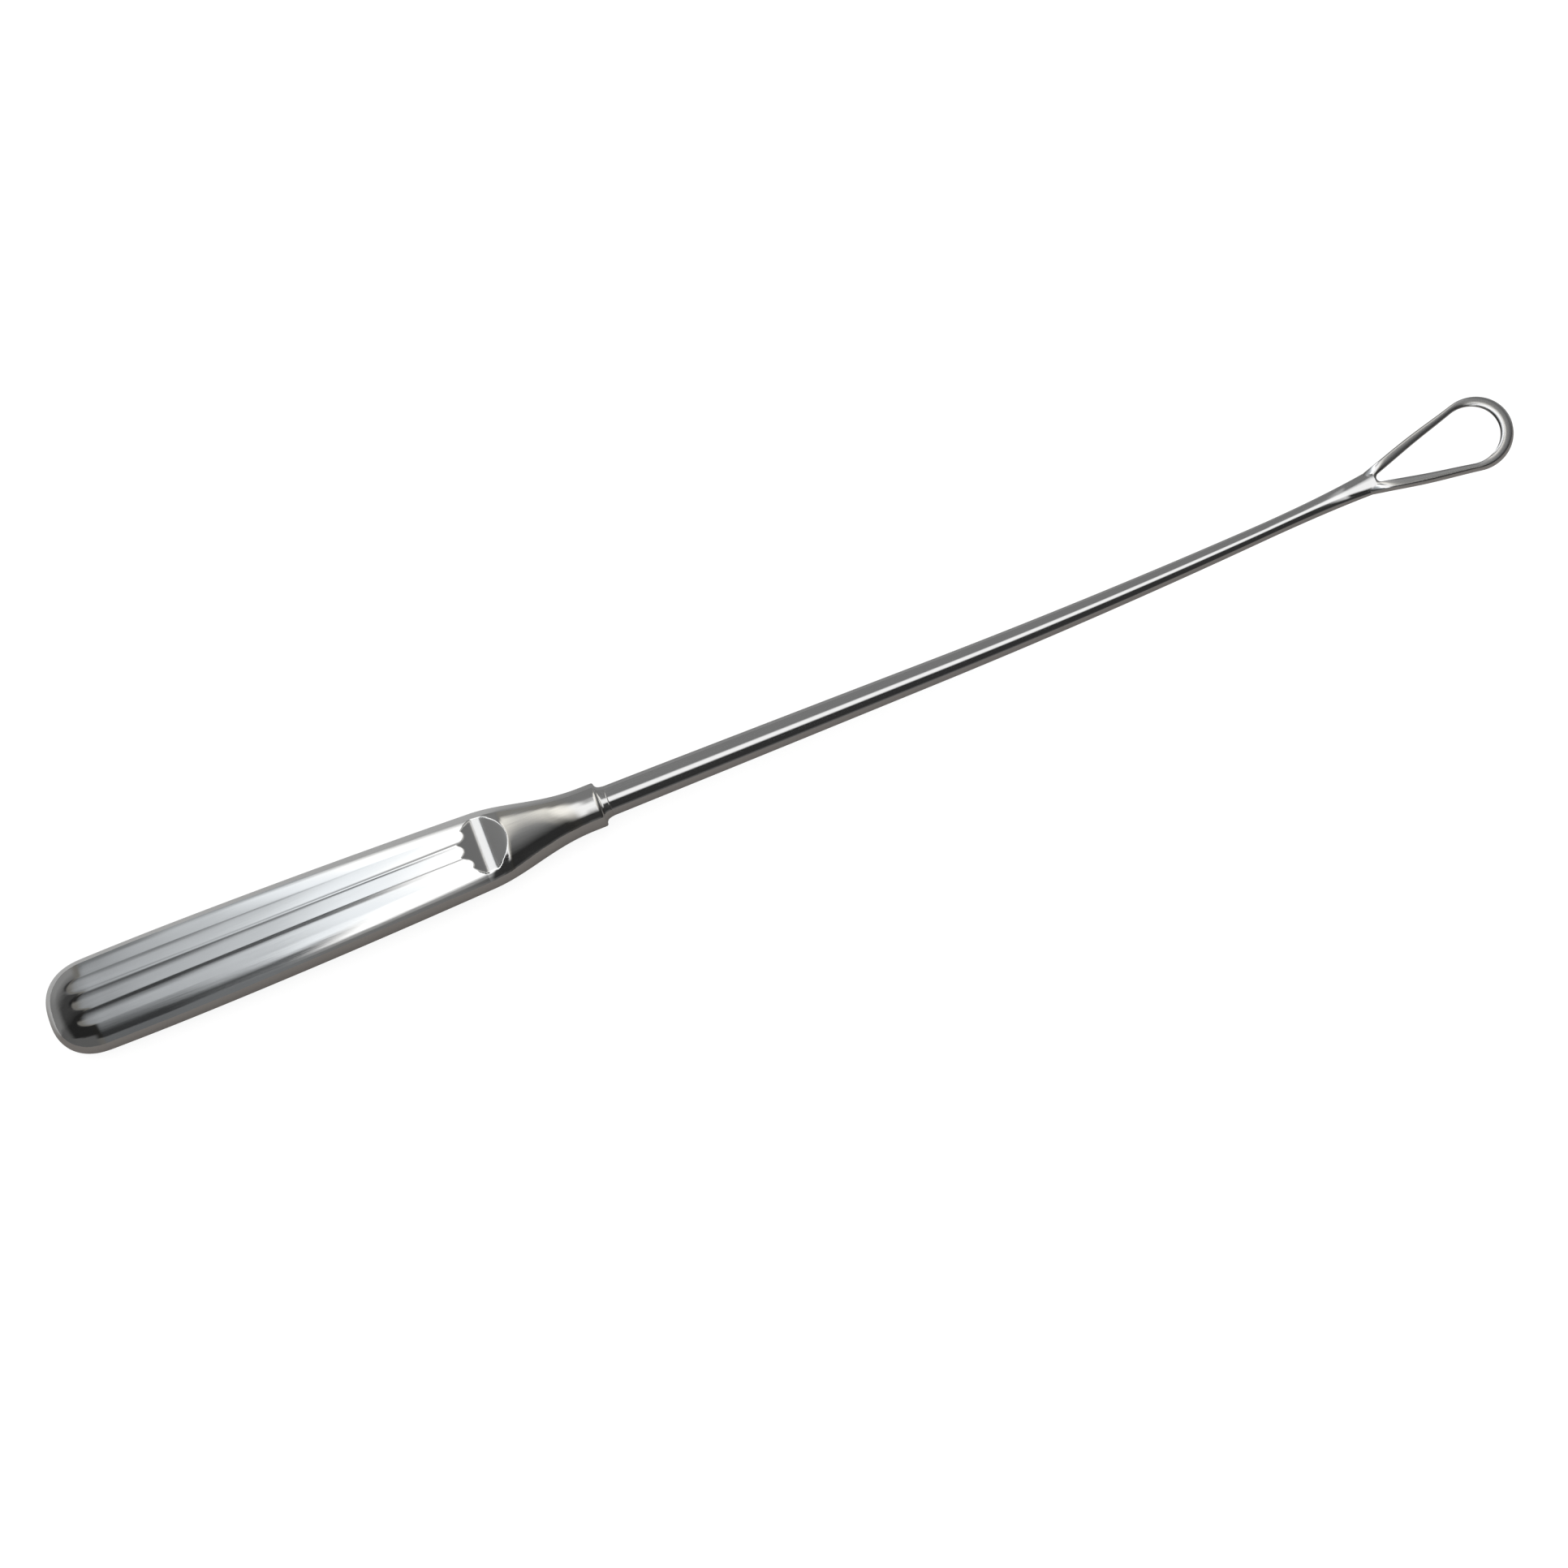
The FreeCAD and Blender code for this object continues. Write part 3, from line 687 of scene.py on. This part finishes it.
class ShaftPath:
    """Centre line of the shaft: straight, then one gentle bend up to the fork."""

    @staticmethod
    def frame_at(place: float) -> tuple[np.ndarray, float]:
        """Return the centre point and the upward angle at a place past the mouth."""
        s = SHAFT
        start = HANDLE.length + min(place, s.straight)
        turn = max(place - s.straight, 0.0) / s.bend
        angle = math.radians(s.bend_deg) * turn
        radius = s.bend / math.radians(s.bend_deg)
        return np.array([start + radius * math.sin(angle), 0.0,
                         radius * (1 - math.cos(angle))]), angle

    @staticmethod
    def fork_points(local: np.ndarray) -> np.ndarray:
        """Move points of the fork's frame (along, across, up) to the modelling frame."""
        centre, angle = ShaftPath.frame_at(SHAFT.fork)
        c, s = math.cos(angle), math.sin(angle)
        turned = np.stack([local[:, 0] * c - local[:, 2] * s, local[:, 1],
                           local[:, 0] * s + local[:, 2] * c], -1)
        return turned + centre

    @staticmethod
    def oval(place: float) -> tuple[float, float, float]:
        """Return half width, half height and fullness at a place past the mouth."""
        s = SHAFT
        thin = min(max((place - s.bead_reach) / (s.waist - s.bead_reach), 0.0), 1.0) ** s.rod_taper
        radius = (s.rod_diameter + (s.waist_diameter - s.rod_diameter) * thin) / 2
        flare = max((place - s.waist) / s.flare, 0.0)
        wide = s.root_radius - s.flush_gap
        high = s.loop_thickness / 2 - s.flush_gap
        half_width = radius + (wide - radius) * flare ** s.flare_taper
        half_height = radius + (high - radius) * ShaftPath.eased(flare)
        return half_width, half_height, 2.0 + (s.fork_fullness - 2.0) * flare ** s.fork_fade

    @staticmethod
    def eased(flare: float) -> float:
        """Return the flare's share, running out level at the fork."""
        start = SHAFT.level_from
        if flare < start:
            return flare ** SHAFT.flare_taper
        u = (flare - start) / (1.0 - start)
        value = start ** SHAFT.flare_taper
        slope = SHAFT.flare_taper * start ** (SHAFT.flare_taper - 1.0) * (1.0 - start)
        return (value * (2 * u ** 3 - 3 * u ** 2 + 1) + slope * (u ** 3 - 2 * u ** 2 + u)
                + (3 * u ** 2 - 2 * u ** 3))


class RodShape:
    """The shaft's rod: a tapered round bar along its centre line, flared at the fork."""

    SIDES = 96
    STRAIGHT_STEPS = 150
    FLARE_STEPS = 60
    NEAREST = 1e-4

    def centre_line(self) -> Object:
        """Return the centre line as a chain of edges with the section's sizes on its points."""
        flared = np.linspace(SHAFT.waist, SHAFT.fork, self.FLARE_STEPS)[1:]
        places = np.concatenate([[-HANDLE.bore_depth],
                                 np.linspace(0.0, SHAFT.waist, self.STRAIGHT_STEPS), flared])
        centres = [ShaftPath.frame_at(place)[0] for place in places]
        _, angle = ShaftPath.frame_at(SHAFT.fork)
        ahead = np.array([math.cos(angle), 0.0, math.sin(angle)])
        centres.append(centres[-1] + SHAFT.overlap * ahead)
        ovals = [ShaftPath.oval(place) for place in places]
        ovals.append(ovals[-1])
        edges = [(k, k + 1) for k in range(len(centres) - 1)]
        piece = link_mesh("rod", np.array(centres), [], edges)
        for k, name in enumerate(("half_width", "half_height", "fullness")):
            field = piece.data.attributes.new(name, "FLOAT", "POINT")
            field.data.foreach_set("value", [oval[k] for oval in ovals])
        return piece

    def build(self, material: Material) -> Object:
        """Sweep the rod's sections along its centre line.

        Args:
            material: The shaft's steel.

        Returns:
            The object, in the modelling frame.
        """
        piece = self.centre_line()
        tree = ShapeTree("swept_bar", {"Sides": self.SIDES, "Material": material})
        kept = tree.store(tree.inputs["Geometry"], "centre", tree.position(), "FLOAT_VECTOR")
        curve = tree.node("GeometryNodeMeshToCurve", Mesh=kept)
        ring = tree.node("GeometryNodeCurvePrimitiveCircle", Resolution=tree.inputs["Sides"],
                         Radius=1.0)
        swept = tree.node("GeometryNodeCurveToMesh", Curve=curve.outputs[0],
                          Profile_Curve=ring.outputs[0], Fill_Caps=True)
        centre = tree.split(tree.attribute("centre", "FLOAT_VECTOR"))
        forward, aside, upward = (tree.calc("SUBTRACT", here, middle)
                                  for here, middle in zip(tree.split(tree.position()), centre))
        power = tree.calc("SUBTRACT", tree.calc("DIVIDE", 2.0, tree.attribute("fullness")), 1.0)
        rise = tree.calc("SQRT", tree.calc("ADD", tree.calc("MULTIPLY", forward, forward),
                                           tree.calc("MULTIPLY", upward, upward)))
        wide, high = (
            tree.calc("MULTIPLY", tree.calc("POWER", tree.calc("MAXIMUM", size, self.NEAREST),
                                            power), tree.attribute(name))
            for size, name in ((tree.calc("ABSOLUTE", aside), "half_width"),
                               (rise, "half_height")))
        placed = tree.vector(*(tree.calc("MULTIPLY_ADD", *parts) for parts in zip(
            (forward, aside, upward), (high, wide, high), centre)))
        shaped = tree.node("GeometryNodeSetPosition", Geometry=swept.outputs[0], Position=placed)
        tree.bake(shaped.outputs[0], piece)
        return piece


class LoopShape:
    """The loop: a band around the teardrop opening, with a ground inner edge."""

    ROOT_STEPS = 16
    ARM_STEPS = 60
    TIP_STEPS = 48
    ROUNDING_STEPS = 7
    CREST_SHARES = (0.0, 0.12, 0.24, 0.36, 0.48)
    CREST_OFFSET = 0.05
    LIP = 0.03

    def outline(self, near: float, small: float, far: float, large: float,
                bulge: float) -> np.ndarray:
        """Return the points of half a teardrop, from its root to its tip."""
        side = math.pi / 2 + math.asin((large - small) / (far - near))
        root = np.linspace(math.pi, side, self.ROOT_STEPS + 1)
        tip = np.linspace(side, 0.0, self.TIP_STEPS + 1)
        start = np.stack([near + small * np.cos(root), small * np.sin(root)], -1)
        end = np.stack([far + large * np.cos(tip), large * np.sin(tip)], -1)
        part = np.linspace(0.0, 1.0, self.ARM_STEPS + 1)[1:-1, None]
        outward = np.array([math.cos(side), math.sin(side)])
        arm = start[-1] * (1 - part) + end[0] * part
        arm = arm + bulge * np.sin(math.pi * part) ** 2 * outward
        return np.concatenate([start, arm, end])

    def section(self) -> list[tuple[float, float, float]]:
        """Return the band's section: share of the way outward, offset outward and height."""
        s = SHAFT
        half = s.loop_thickness / 2 - 1.5 * s.flush_gap
        r = s.loop_rounding
        points = [(0.0, 0.0, half - s.dome - 0.08), (0.0, self.LIP, half - s.dome - 0.02)]
        points += [(share, self.CREST_OFFSET,
                    half - s.dome * (1.0 - share / self.CREST_SHARES[-1]) ** 2)
                   for share in self.CREST_SHARES]
        for side in (1, -1):
            ends = (math.pi / 2, 0.0) if side > 0 else (0.0, -math.pi / 2)
            points += [(1.0, -r + r * math.cos(angle), side * (half - r) + r * math.sin(angle))
                       for angle in np.linspace(*ends, self.ROUNDING_STEPS)]
        points += [(0.0, s.bevel_width + self.LIP, -half), (0.0, s.bevel_width, -half + 0.04)]
        points += [(0.0, s.bevel_width * (1 - k), -half + s.bevel_height * k)
                   for k in (0.33, 0.66, 0.97)]
        return points + [(0.0, 0.0, -half + s.bevel_height + 0.05)]

    def build(self) -> Object:
        """Make the loop's mesh by sweeping the band's section around the opening."""
        s = SHAFT
        outer = self.outline(0.0, s.root_radius, s.loop_reach, s.loop_radius, s.outer_bulge)
        inner = self.outline(s.crotch_place, s.crotch_radius, s.eye_reach, s.eye_radius,
                             s.inner_bulge)
        across = outer - inner
        width = np.linalg.norm(across, axis=1, keepdims=True)
        unit = across / width
        rings = []
        for share, offset, height in self.section():
            flat = inner + across * share + unit * offset
            rings.append(np.column_stack([flat, np.full(len(flat), height)]))
        grid = np.stack(rings, axis=1)
        mirrored = grid[1:-1][::-1] * np.array([1.0, -1.0, 1.0])
        grid = np.concatenate([grid, mirrored])
        count, columns, _ = grid.shape
        out = np.clip((grid[..., 0] + s.sunk_from) / s.sunk_run, 0.0, 1.0)
        grid[..., 2] *= s.sunk + (1.0 - s.sunk) * out * out * (3.0 - 2.0 * out)
        points = ShaftPath.fork_points(grid.reshape(-1, 3))
        faces = ring_faces(count, columns, closed=True)
        piece = link_mesh("loop", points, faces)
        reach = np.clip(grid[..., 0].reshape(-1) / s.satin_from, 0.0, 1.0)
        field = piece.data.attributes.new(CUT_ATTRIBUTE, "FLOAT", "POINT")
        field.data.foreach_set("value", s.satin * reach * reach * (3.0 - 2.0 * reach))
        LOG.info("loop: %d faces", len(faces))
        return piece


class BeadShape:
    """The solder bead: a hollow ring in the corner of the collar and the shaft."""

    SIDES = 96
    STEPS = 9
    HOLLOW = 0.42
    FACE_FILM = 0.01

    def build(self) -> Object:
        """Make the bead's mesh by turning its section."""
        low = SHAFT.rod_diameter / 2 + SHAFT.bead_gap
        start = HANDLE.length
        outline = [(start, low), (start, low + SHAFT.bead_rise)]
        for share in np.linspace(0.0, 1.0, self.STEPS)[1:]:
            hollow = self.HOLLOW * math.sin(math.pi * share)
            x = SHAFT.bead_reach * (share - hollow * 0.5)
            r = SHAFT.bead_rise * (1 - share - hollow * 0.5)
            outline.append((start + max(x, self.FACE_FILM), low + max(r, 0.0)))
        angle = 2 * np.pi * np.arange(self.SIDES) / self.SIDES
        rings = [circle(x, r, angle) for x, r in outline]
        faces = ring_faces(len(rings), self.SIDES, closed=True)
        piece = link_mesh("bead", np.concatenate(rings), faces)
        return piece


class SteelMaker:
    """Makes the procedural steels."""

    MOST_LEAN = 0.25
    DULL_SHARE = 0.94
    CLOUD_SCALE = 140.0
    STREAK_SPAN = (0.3, 0.7)

    @classmethod
    def lean(cls, tree: Fields, x: Socket, finish: SteelFinish) -> Socket:
        """Return the surface normal, flattened and leaned as the finish says.

        Args:
            tree: The material's nodes.
            x: Place along the instrument in metres.
            finish: The finish, with no lean above MOST_LEAN.

        Returns:
            The normal's socket.
        """
        places, leans = zip(*finish.lean)
        low, high = places[0], places[-1]
        heights = [0.5 + lean / (2 * cls.MOST_LEAN) for lean in leans]
        curve = tree.node("ShaderNodeFloatCurve", Value=tree.spread(x, low * MM, high * MM))
        points = curve.mapping.curves[0].points
        for place, height in list(zip(places, heights))[1:-1]:
            points.new((place - low) / (high - low), height)
        points[0].location = (0.0, heights[0])
        points[len(points) - 1].location = (1.0, heights[-1])
        curve.mapping.update()
        along = tree.spread(curve.outputs["Value"], 0.0, 1.0, (-cls.MOST_LEAN, cls.MOST_LEAN))
        start, end, amount = finish.sway
        across = tree.spread(x, start * MM, end * MM, (0.0, amount), "SMOOTHSTEP")
        surface = tree.nodes.new("ShaderNodeNewGeometry").outputs["Normal"]
        total = tree.row("ShaderNodeVectorMath", surface, (finish.keep, 1.0, 1.0),
                         tree.vector(along, across, 0.0), operation="MULTIPLY_ADD")
        return tree.row("ShaderNodeVectorMath", total, operation="NORMALIZE")

    @classmethod
    def make(cls, finish: SteelFinish) -> Material:
        """Return a steel with polishing streaks in its gloss and relief.

        Args:
            finish: The finish.

        Returns:
            The material.
        """
        material = bpy.data.materials.new(finish.name)
        material.use_nodes = True
        tree = Fields(material.node_tree)
        shader = tree.nodes["Principled BSDF"]
        shader.inputs["Metallic"].default_value = 1.0
        place = tree.nodes.new("ShaderNodeTexCoord").outputs["Object"]
        stretch = tree.node("ShaderNodeMapping", Vector=place, Scale=finish.streak_scale)
        streak = tree.node("ShaderNodeTexNoise", Vector=stretch.outputs[0], Scale=1.0,
                           Detail=3.0).outputs["Fac"]
        cloud = tree.node("ShaderNodeTexNoise", Vector=place, Scale=cls.CLOUD_SCALE, Detail=2.0)
        dull = (*(cls.DULL_SHARE * c for c in finish.colour), 1.0)
        tone = tree.blend(dull, (*finish.colour, 1.0), cloud.outputs["Fac"])
        tree.put(shader.inputs["Base Color"], tone)
        gloss = tree.spread(streak, *cls.STREAK_SPAN, finish.roughness)
        normal = cls.lean(tree, tree.split(place)[0], finish)
        relief = tree.node("ShaderNodeBump", Distance=finish.bump, Strength=1.0, Height=streak,
                           Normal=normal)
        tree.put(shader.inputs["Normal"], relief.outputs["Normal"])
        if finish.milled:
            cut = tree.nodes.new("ShaderNodeAttribute")
            cut.attribute_name = CUT_ATTRIBUTE
            gloss = tree.calc("MAXIMUM", cut.outputs["Fac"], gloss)
        tree.put(shader.inputs["Roughness"], gloss)
        return material


@dataclass(frozen=True)
class Surrounding:
    """What the steel mirrors in one span of directions along the instrument.

    Angles run in degrees from the near horizon (0) over the top to the far one (180).

    Attributes:
        start: Direction's share along the instrument at which this one starts to show.
        end: Share at which it shows alone.
        glow: Tone of the table's edge at the near horizon.
        glow_to: Angle at which it ends.
        front: Tone of the dark room in front.
        panel: Angles at which the light panel starts and ends.
        light: Tone of the panel.
        edges: Widths of the panel's soft edges.
        behind: Tone of the wall behind.
        tint: Colour of the light.
    """

    start: float
    end: float
    glow: float
    glow_to: float
    front: float
    panel: tuple[float, float]
    light: float
    edges: tuple[float, float]
    behind: float
    tint: tuple[float, float, float] = (1.0, 1.0, 1.0)

    def stops(self) -> list[tuple[float, float]]:
        """Return angles with tones for a colour ramp."""
        return [(0.0, self.glow), (self.glow_to, self.glow), (self.glow_to + 6.0, self.front),
                (self.panel[0] - self.edges[0], self.front), (self.panel[0], self.light),
                (self.panel[1], self.light), (self.panel[1] + self.edges[1], self.behind),
                (180.0, self.behind)]


WARM = (1.03, 1.0, 0.93)
COOL = (0.96, 1.0, 1.04)
# Fitted to grey tones sampled from the photo, then changed one by one.
SURROUNDINGS = (
    Surrounding(-2.0, -1.5, 0.16, 20, 0.15, (60, 100), 0.15, (10, 20), 0.28),
    Surrounding(-0.94, -0.80, 0.16, 58, 0.025, (114, 120), 0.07, (14, 30), 0.36),
    Surrounding(-0.37, -0.26, 0.19, 40, 0.025, (100, 116), 0.26, (14, 14), 0.24, WARM),
    Surrounding(-0.255, -0.205, 0.20, 38, 0.05, (98, 140), 0.46, (38, 20), 0.27, COOL),
    Surrounding(-0.205, -0.178, 0.21, 36, 0.06, (98, 152), 0.72, (36, 14), 0.31, COOL),
    Surrounding(-0.178, -0.152, 0.24, 38, 0.13, (80, 158), 0.88, (22, 16), 0.55, COOL),
    Surrounding(-0.150, -0.115, 0.26, 34, 0.20, (70, 158), 1.5, (12, 16), 0.60, COOL),
    Surrounding(-0.112, -0.080, 0.25, 20, 0.50, (42, 156), 2.0, (10, 18), 0.62),
    Surrounding(-0.015, 0.025, 0.15, 7, 0.045, (72, 92), 1.5, (12, 12), 0.29),
    Surrounding(0.095, 0.115, 0.09, 5, 0.045, (56, 114), 1.5, (16, 18), 0.28),
    Surrounding(0.125, 0.175, 0.08, 5, 0.045, (100, 132), 1.5, (60, 16), 0.30, WARM),
    Surrounding(0.180, 0.225, 0.07, 5, 0.035, (136, 145), 1.2, (85, 12), 0.32, WARM),
    Surrounding(0.235, 0.275, 0.10, 5, 0.035, (138, 150), 0.58, (88, 16), 0.32),
    Surrounding(0.38, 0.50, 0.12, 5, 0.06, (118, 150), 0.22, (80, 16), 0.24),
)
LIGHT_SCALE = 2.0


@dataclass(frozen=True)
class PhotoView:
    """Where the photo was taken from: angles in degrees, lengths in millimetres.

    Attributes:
        scale: Pixels of the photo for a millimetre at the target.
        width: Width of the photo in pixels.
        clip: Nearest distance shown, in metres.
    """

    elevation: float = 72.536
    azimuth: float = -7.251
    roll: float = 14.632
    distance: float = 575.0
    target: tuple[float, float, float] = (-2.958, -9.505, 6.0)
    scale: float = 6.934
    width: int = 1932
    sensor: float = 36.0
    clip: float = 0.01


def grey(tone: float) -> tuple[float, float, float, float]:
    """Return a grey colour."""
    return tone, tone, tone, 1.0


class Studio:
    """Table, surroundings and camera."""

    TABLE_WIDTH = 6.0
    TABLE_TONE = 0.3
    TABLE_GLOW = 0.8
    # Tones of the white table as the steel mirrors it: painted shade near, painted light toward
    # the far side and the butt.
    SHADED_PAPER_NEAR = (0.275, 0.255, 0.24, 1.0)
    LIT_PAPER_FAR = 0.36
    LIT_PAPER_BUTT = 0.62
    SHADE_TO_LIGHT_NEAR_TO_FAR = (-5.0 * MM, 12.0 * MM)
    SHADE_TO_LIGHT_LOOP_TO_BUTT = (-35.0 * MM, -55.0 * MM)

    def __init__(self) -> None:
        self.scene = bpy.context.scene
        self.scene.view_settings.view_transform = "Standard"

    def camera(self) -> None:
        """Place the camera at the photo's view."""
        v = PhotoView()
        elevation, azimuth, roll = (math.radians(a) for a in (v.elevation, v.azimuth, v.roll))
        out = Vector((math.cos(elevation) * math.sin(azimuth),
                      -math.cos(elevation) * math.cos(azimuth), math.sin(elevation)))
        right = Vector((math.cos(azimuth), math.sin(azimuth), 0.0))
        up = out.cross(right)
        c, s = math.cos(roll), math.sin(roll)
        axes = Matrix((c * right - s * up, s * right + c * up, out)).transposed().to_4x4()
        axes.translation = (Vector(v.target) + out * v.distance) * MM
        data = bpy.data.cameras.new("camera")
        data.sensor_width = v.sensor
        data.lens = v.sensor * v.scale * v.distance / v.width
        data.clip_start = v.clip
        view = bpy.data.objects.new("camera", data)
        view.matrix_world = axes
        bpy.context.collection.objects.link(view)
        self.scene.camera = view

    @staticmethod
    def choose(tree: Fields, seen: Socket, mirrored: Socket) -> Socket:
        """Return one shader for the eye, and another for mirrored and transmitted rays."""
        rays = tree.nodes.new("ShaderNodeLightPath").outputs
        either = tree.calc("MAXIMUM", rays["Is Glossy Ray"], rays["Is Transmission Ray"])
        return tree.row("ShaderNodeMixShader", either, seen, mirrored)

    def surroundings(self) -> None:
        """Set the room that the steel mirrors, and plain white light and backdrop."""
        world = bpy.data.worlds.new("studio")
        self.scene.world = world
        world.use_nodes = True
        tree = Fields(world.node_tree)
        plain = tree.nodes["Background"]
        plain.inputs["Color"].default_value = grey(1.0)
        plain.inputs["Strength"].default_value = 1.0
        x, y, z = tree.split(tree.nodes.new("ShaderNodeTexCoord").outputs["Generated"])
        angle = tree.calc("ARCTAN2", z, tree.calc("MULTIPLY", y, -1.0))
        share = tree.spread(angle, 0.0, math.pi)
        colour = self.ramp(tree, SURROUNDINGS[0], share)
        for part in SURROUNDINGS[1:]:
            shown = tree.spread(x, part.start, part.end, kind="SMOOTHSTEP")
            colour = tree.blend(colour, self.ramp(tree, part, share), shown)
        mirrored = tree.node("ShaderNodeBackground", Color=colour, Strength=LIGHT_SCALE)
        chosen = self.choose(tree, plain.outputs[0], mirrored.outputs[0])
        tree.put(tree.nodes["World Output"].inputs["Surface"], chosen)

    @staticmethod
    def ramp(tree: Fields, part: Surrounding, share: Socket) -> Socket:
        """Return a part's colours over the angle from the near horizon to the far one."""
        node = tree.node("ShaderNodeValToRGB", Fac=share)
        elements = node.color_ramp.elements
        stops = part.stops()
        while len(elements) < len(stops):
            elements.new(0.5)
        for element, (degrees, _) in zip(elements, stops):
            element.position = degrees / 180.0
        for element, (_, tone) in zip(elements, stops):
            element.color = (*(tone / LIGHT_SCALE * tint for tint in part.tint), 1.0)
        return node.outputs["Color"]

    def table(self) -> None:
        """Lay the table top: white to the eye, and in the steel grey with painted shade, lighter
        toward the far side and the butt by painted light.
        """
        bpy.ops.mesh.primitive_plane_add(size=self.TABLE_WIDTH)
        top = bpy.context.object
        top.name = "table_top"
        material = bpy.data.materials.new("table_with_painted_light")
        material.use_nodes = True
        tree = Fields(material.node_tree)
        shader = tree.nodes["Principled BSDF"]
        shader.inputs["Roughness"].default_value = 1.0
        shader.inputs["Specular IOR Level"].default_value = 0.0
        shader.inputs["Base Color"].default_value = grey(self.TABLE_TONE)
        glow = tree.node("ShaderNodeEmission", Strength=self.TABLE_GLOW)
        seen = tree.row("ShaderNodeAddShader", shader.outputs[0], glow.outputs[0])
        x, y, _ = tree.split(tree.nodes.new("ShaderNodeTexCoord").outputs["Object"])
        # Painted light and shade: the table in the steel is darker on the near side and lighter
        # toward the far side and the butt.
        behind = tree.blend(grey(self.LIT_PAPER_FAR), grey(self.LIT_PAPER_BUTT),
                            tree.spread(x, *self.SHADE_TO_LIGHT_LOOP_TO_BUTT))
        paper_light_and_shade = tree.blend(self.SHADED_PAPER_NEAR, behind, tree.spread(y, *self.SHADE_TO_LIGHT_NEAR_TO_FAR))
        mirrored_light_and_shade = tree.row("ShaderNodeBsdfDiffuse", paper_light_and_shade)
        tree.put(tree.nodes["Material Output"].inputs["Surface"], self.choose(tree, seen, mirrored_light_and_shade))
        top.data.materials.append(material)


class Curette:
    """The whole instrument in its finishes."""

    def __init__(self) -> None:
        self.laying = Laying()

    def place(self, piece: Object, slot: Slot, node: Node) -> None:
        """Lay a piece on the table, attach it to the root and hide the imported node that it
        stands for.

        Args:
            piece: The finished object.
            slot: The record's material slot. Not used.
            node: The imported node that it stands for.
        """
        self.laying.lay(piece)
        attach(piece, "root")
        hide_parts(node.value)

    def build(self) -> None:
        """Build every piece."""
        grip = HandleShape().build(SteelMaker.make(HANDLE_FINISH))
        self.place(grip, Slot.HANDLE, Node.HANDLE)
        bead = BeadShape().build()
        bead.data.materials.append(SteelMaker.make(SOLDER_FINISH))
        self.place(bead, Slot.SOLDER, Node.BEAD)
        steel = SteelMaker.make(SHAFT_FINISH)
        rod = RodShape().build(steel)
        loop = LoopShape().build()
        loop.data.materials.append(steel)
        self.join(rod, loop)
        rod.name = "shaft_and_loop"
        self.place(rod, Slot.SHAFT, Node.SHAFT)

    @staticmethod
    def join(first: Object, second: Object) -> None:
        """Join the second object's mesh into the first."""
        bpy.ops.object.select_all(action="DESELECT")
        first.select_set(True)
        second.select_set(True)
        bpy.context.view_layer.objects.active = first
        bpy.ops.object.join()


def main() -> None:
    """Build the studio and the instrument."""
    studio = Studio()
    studio.camera()
    studio.surroundings()
    studio.table()
    Curette().build()


if __name__ == "__main__":
    main()
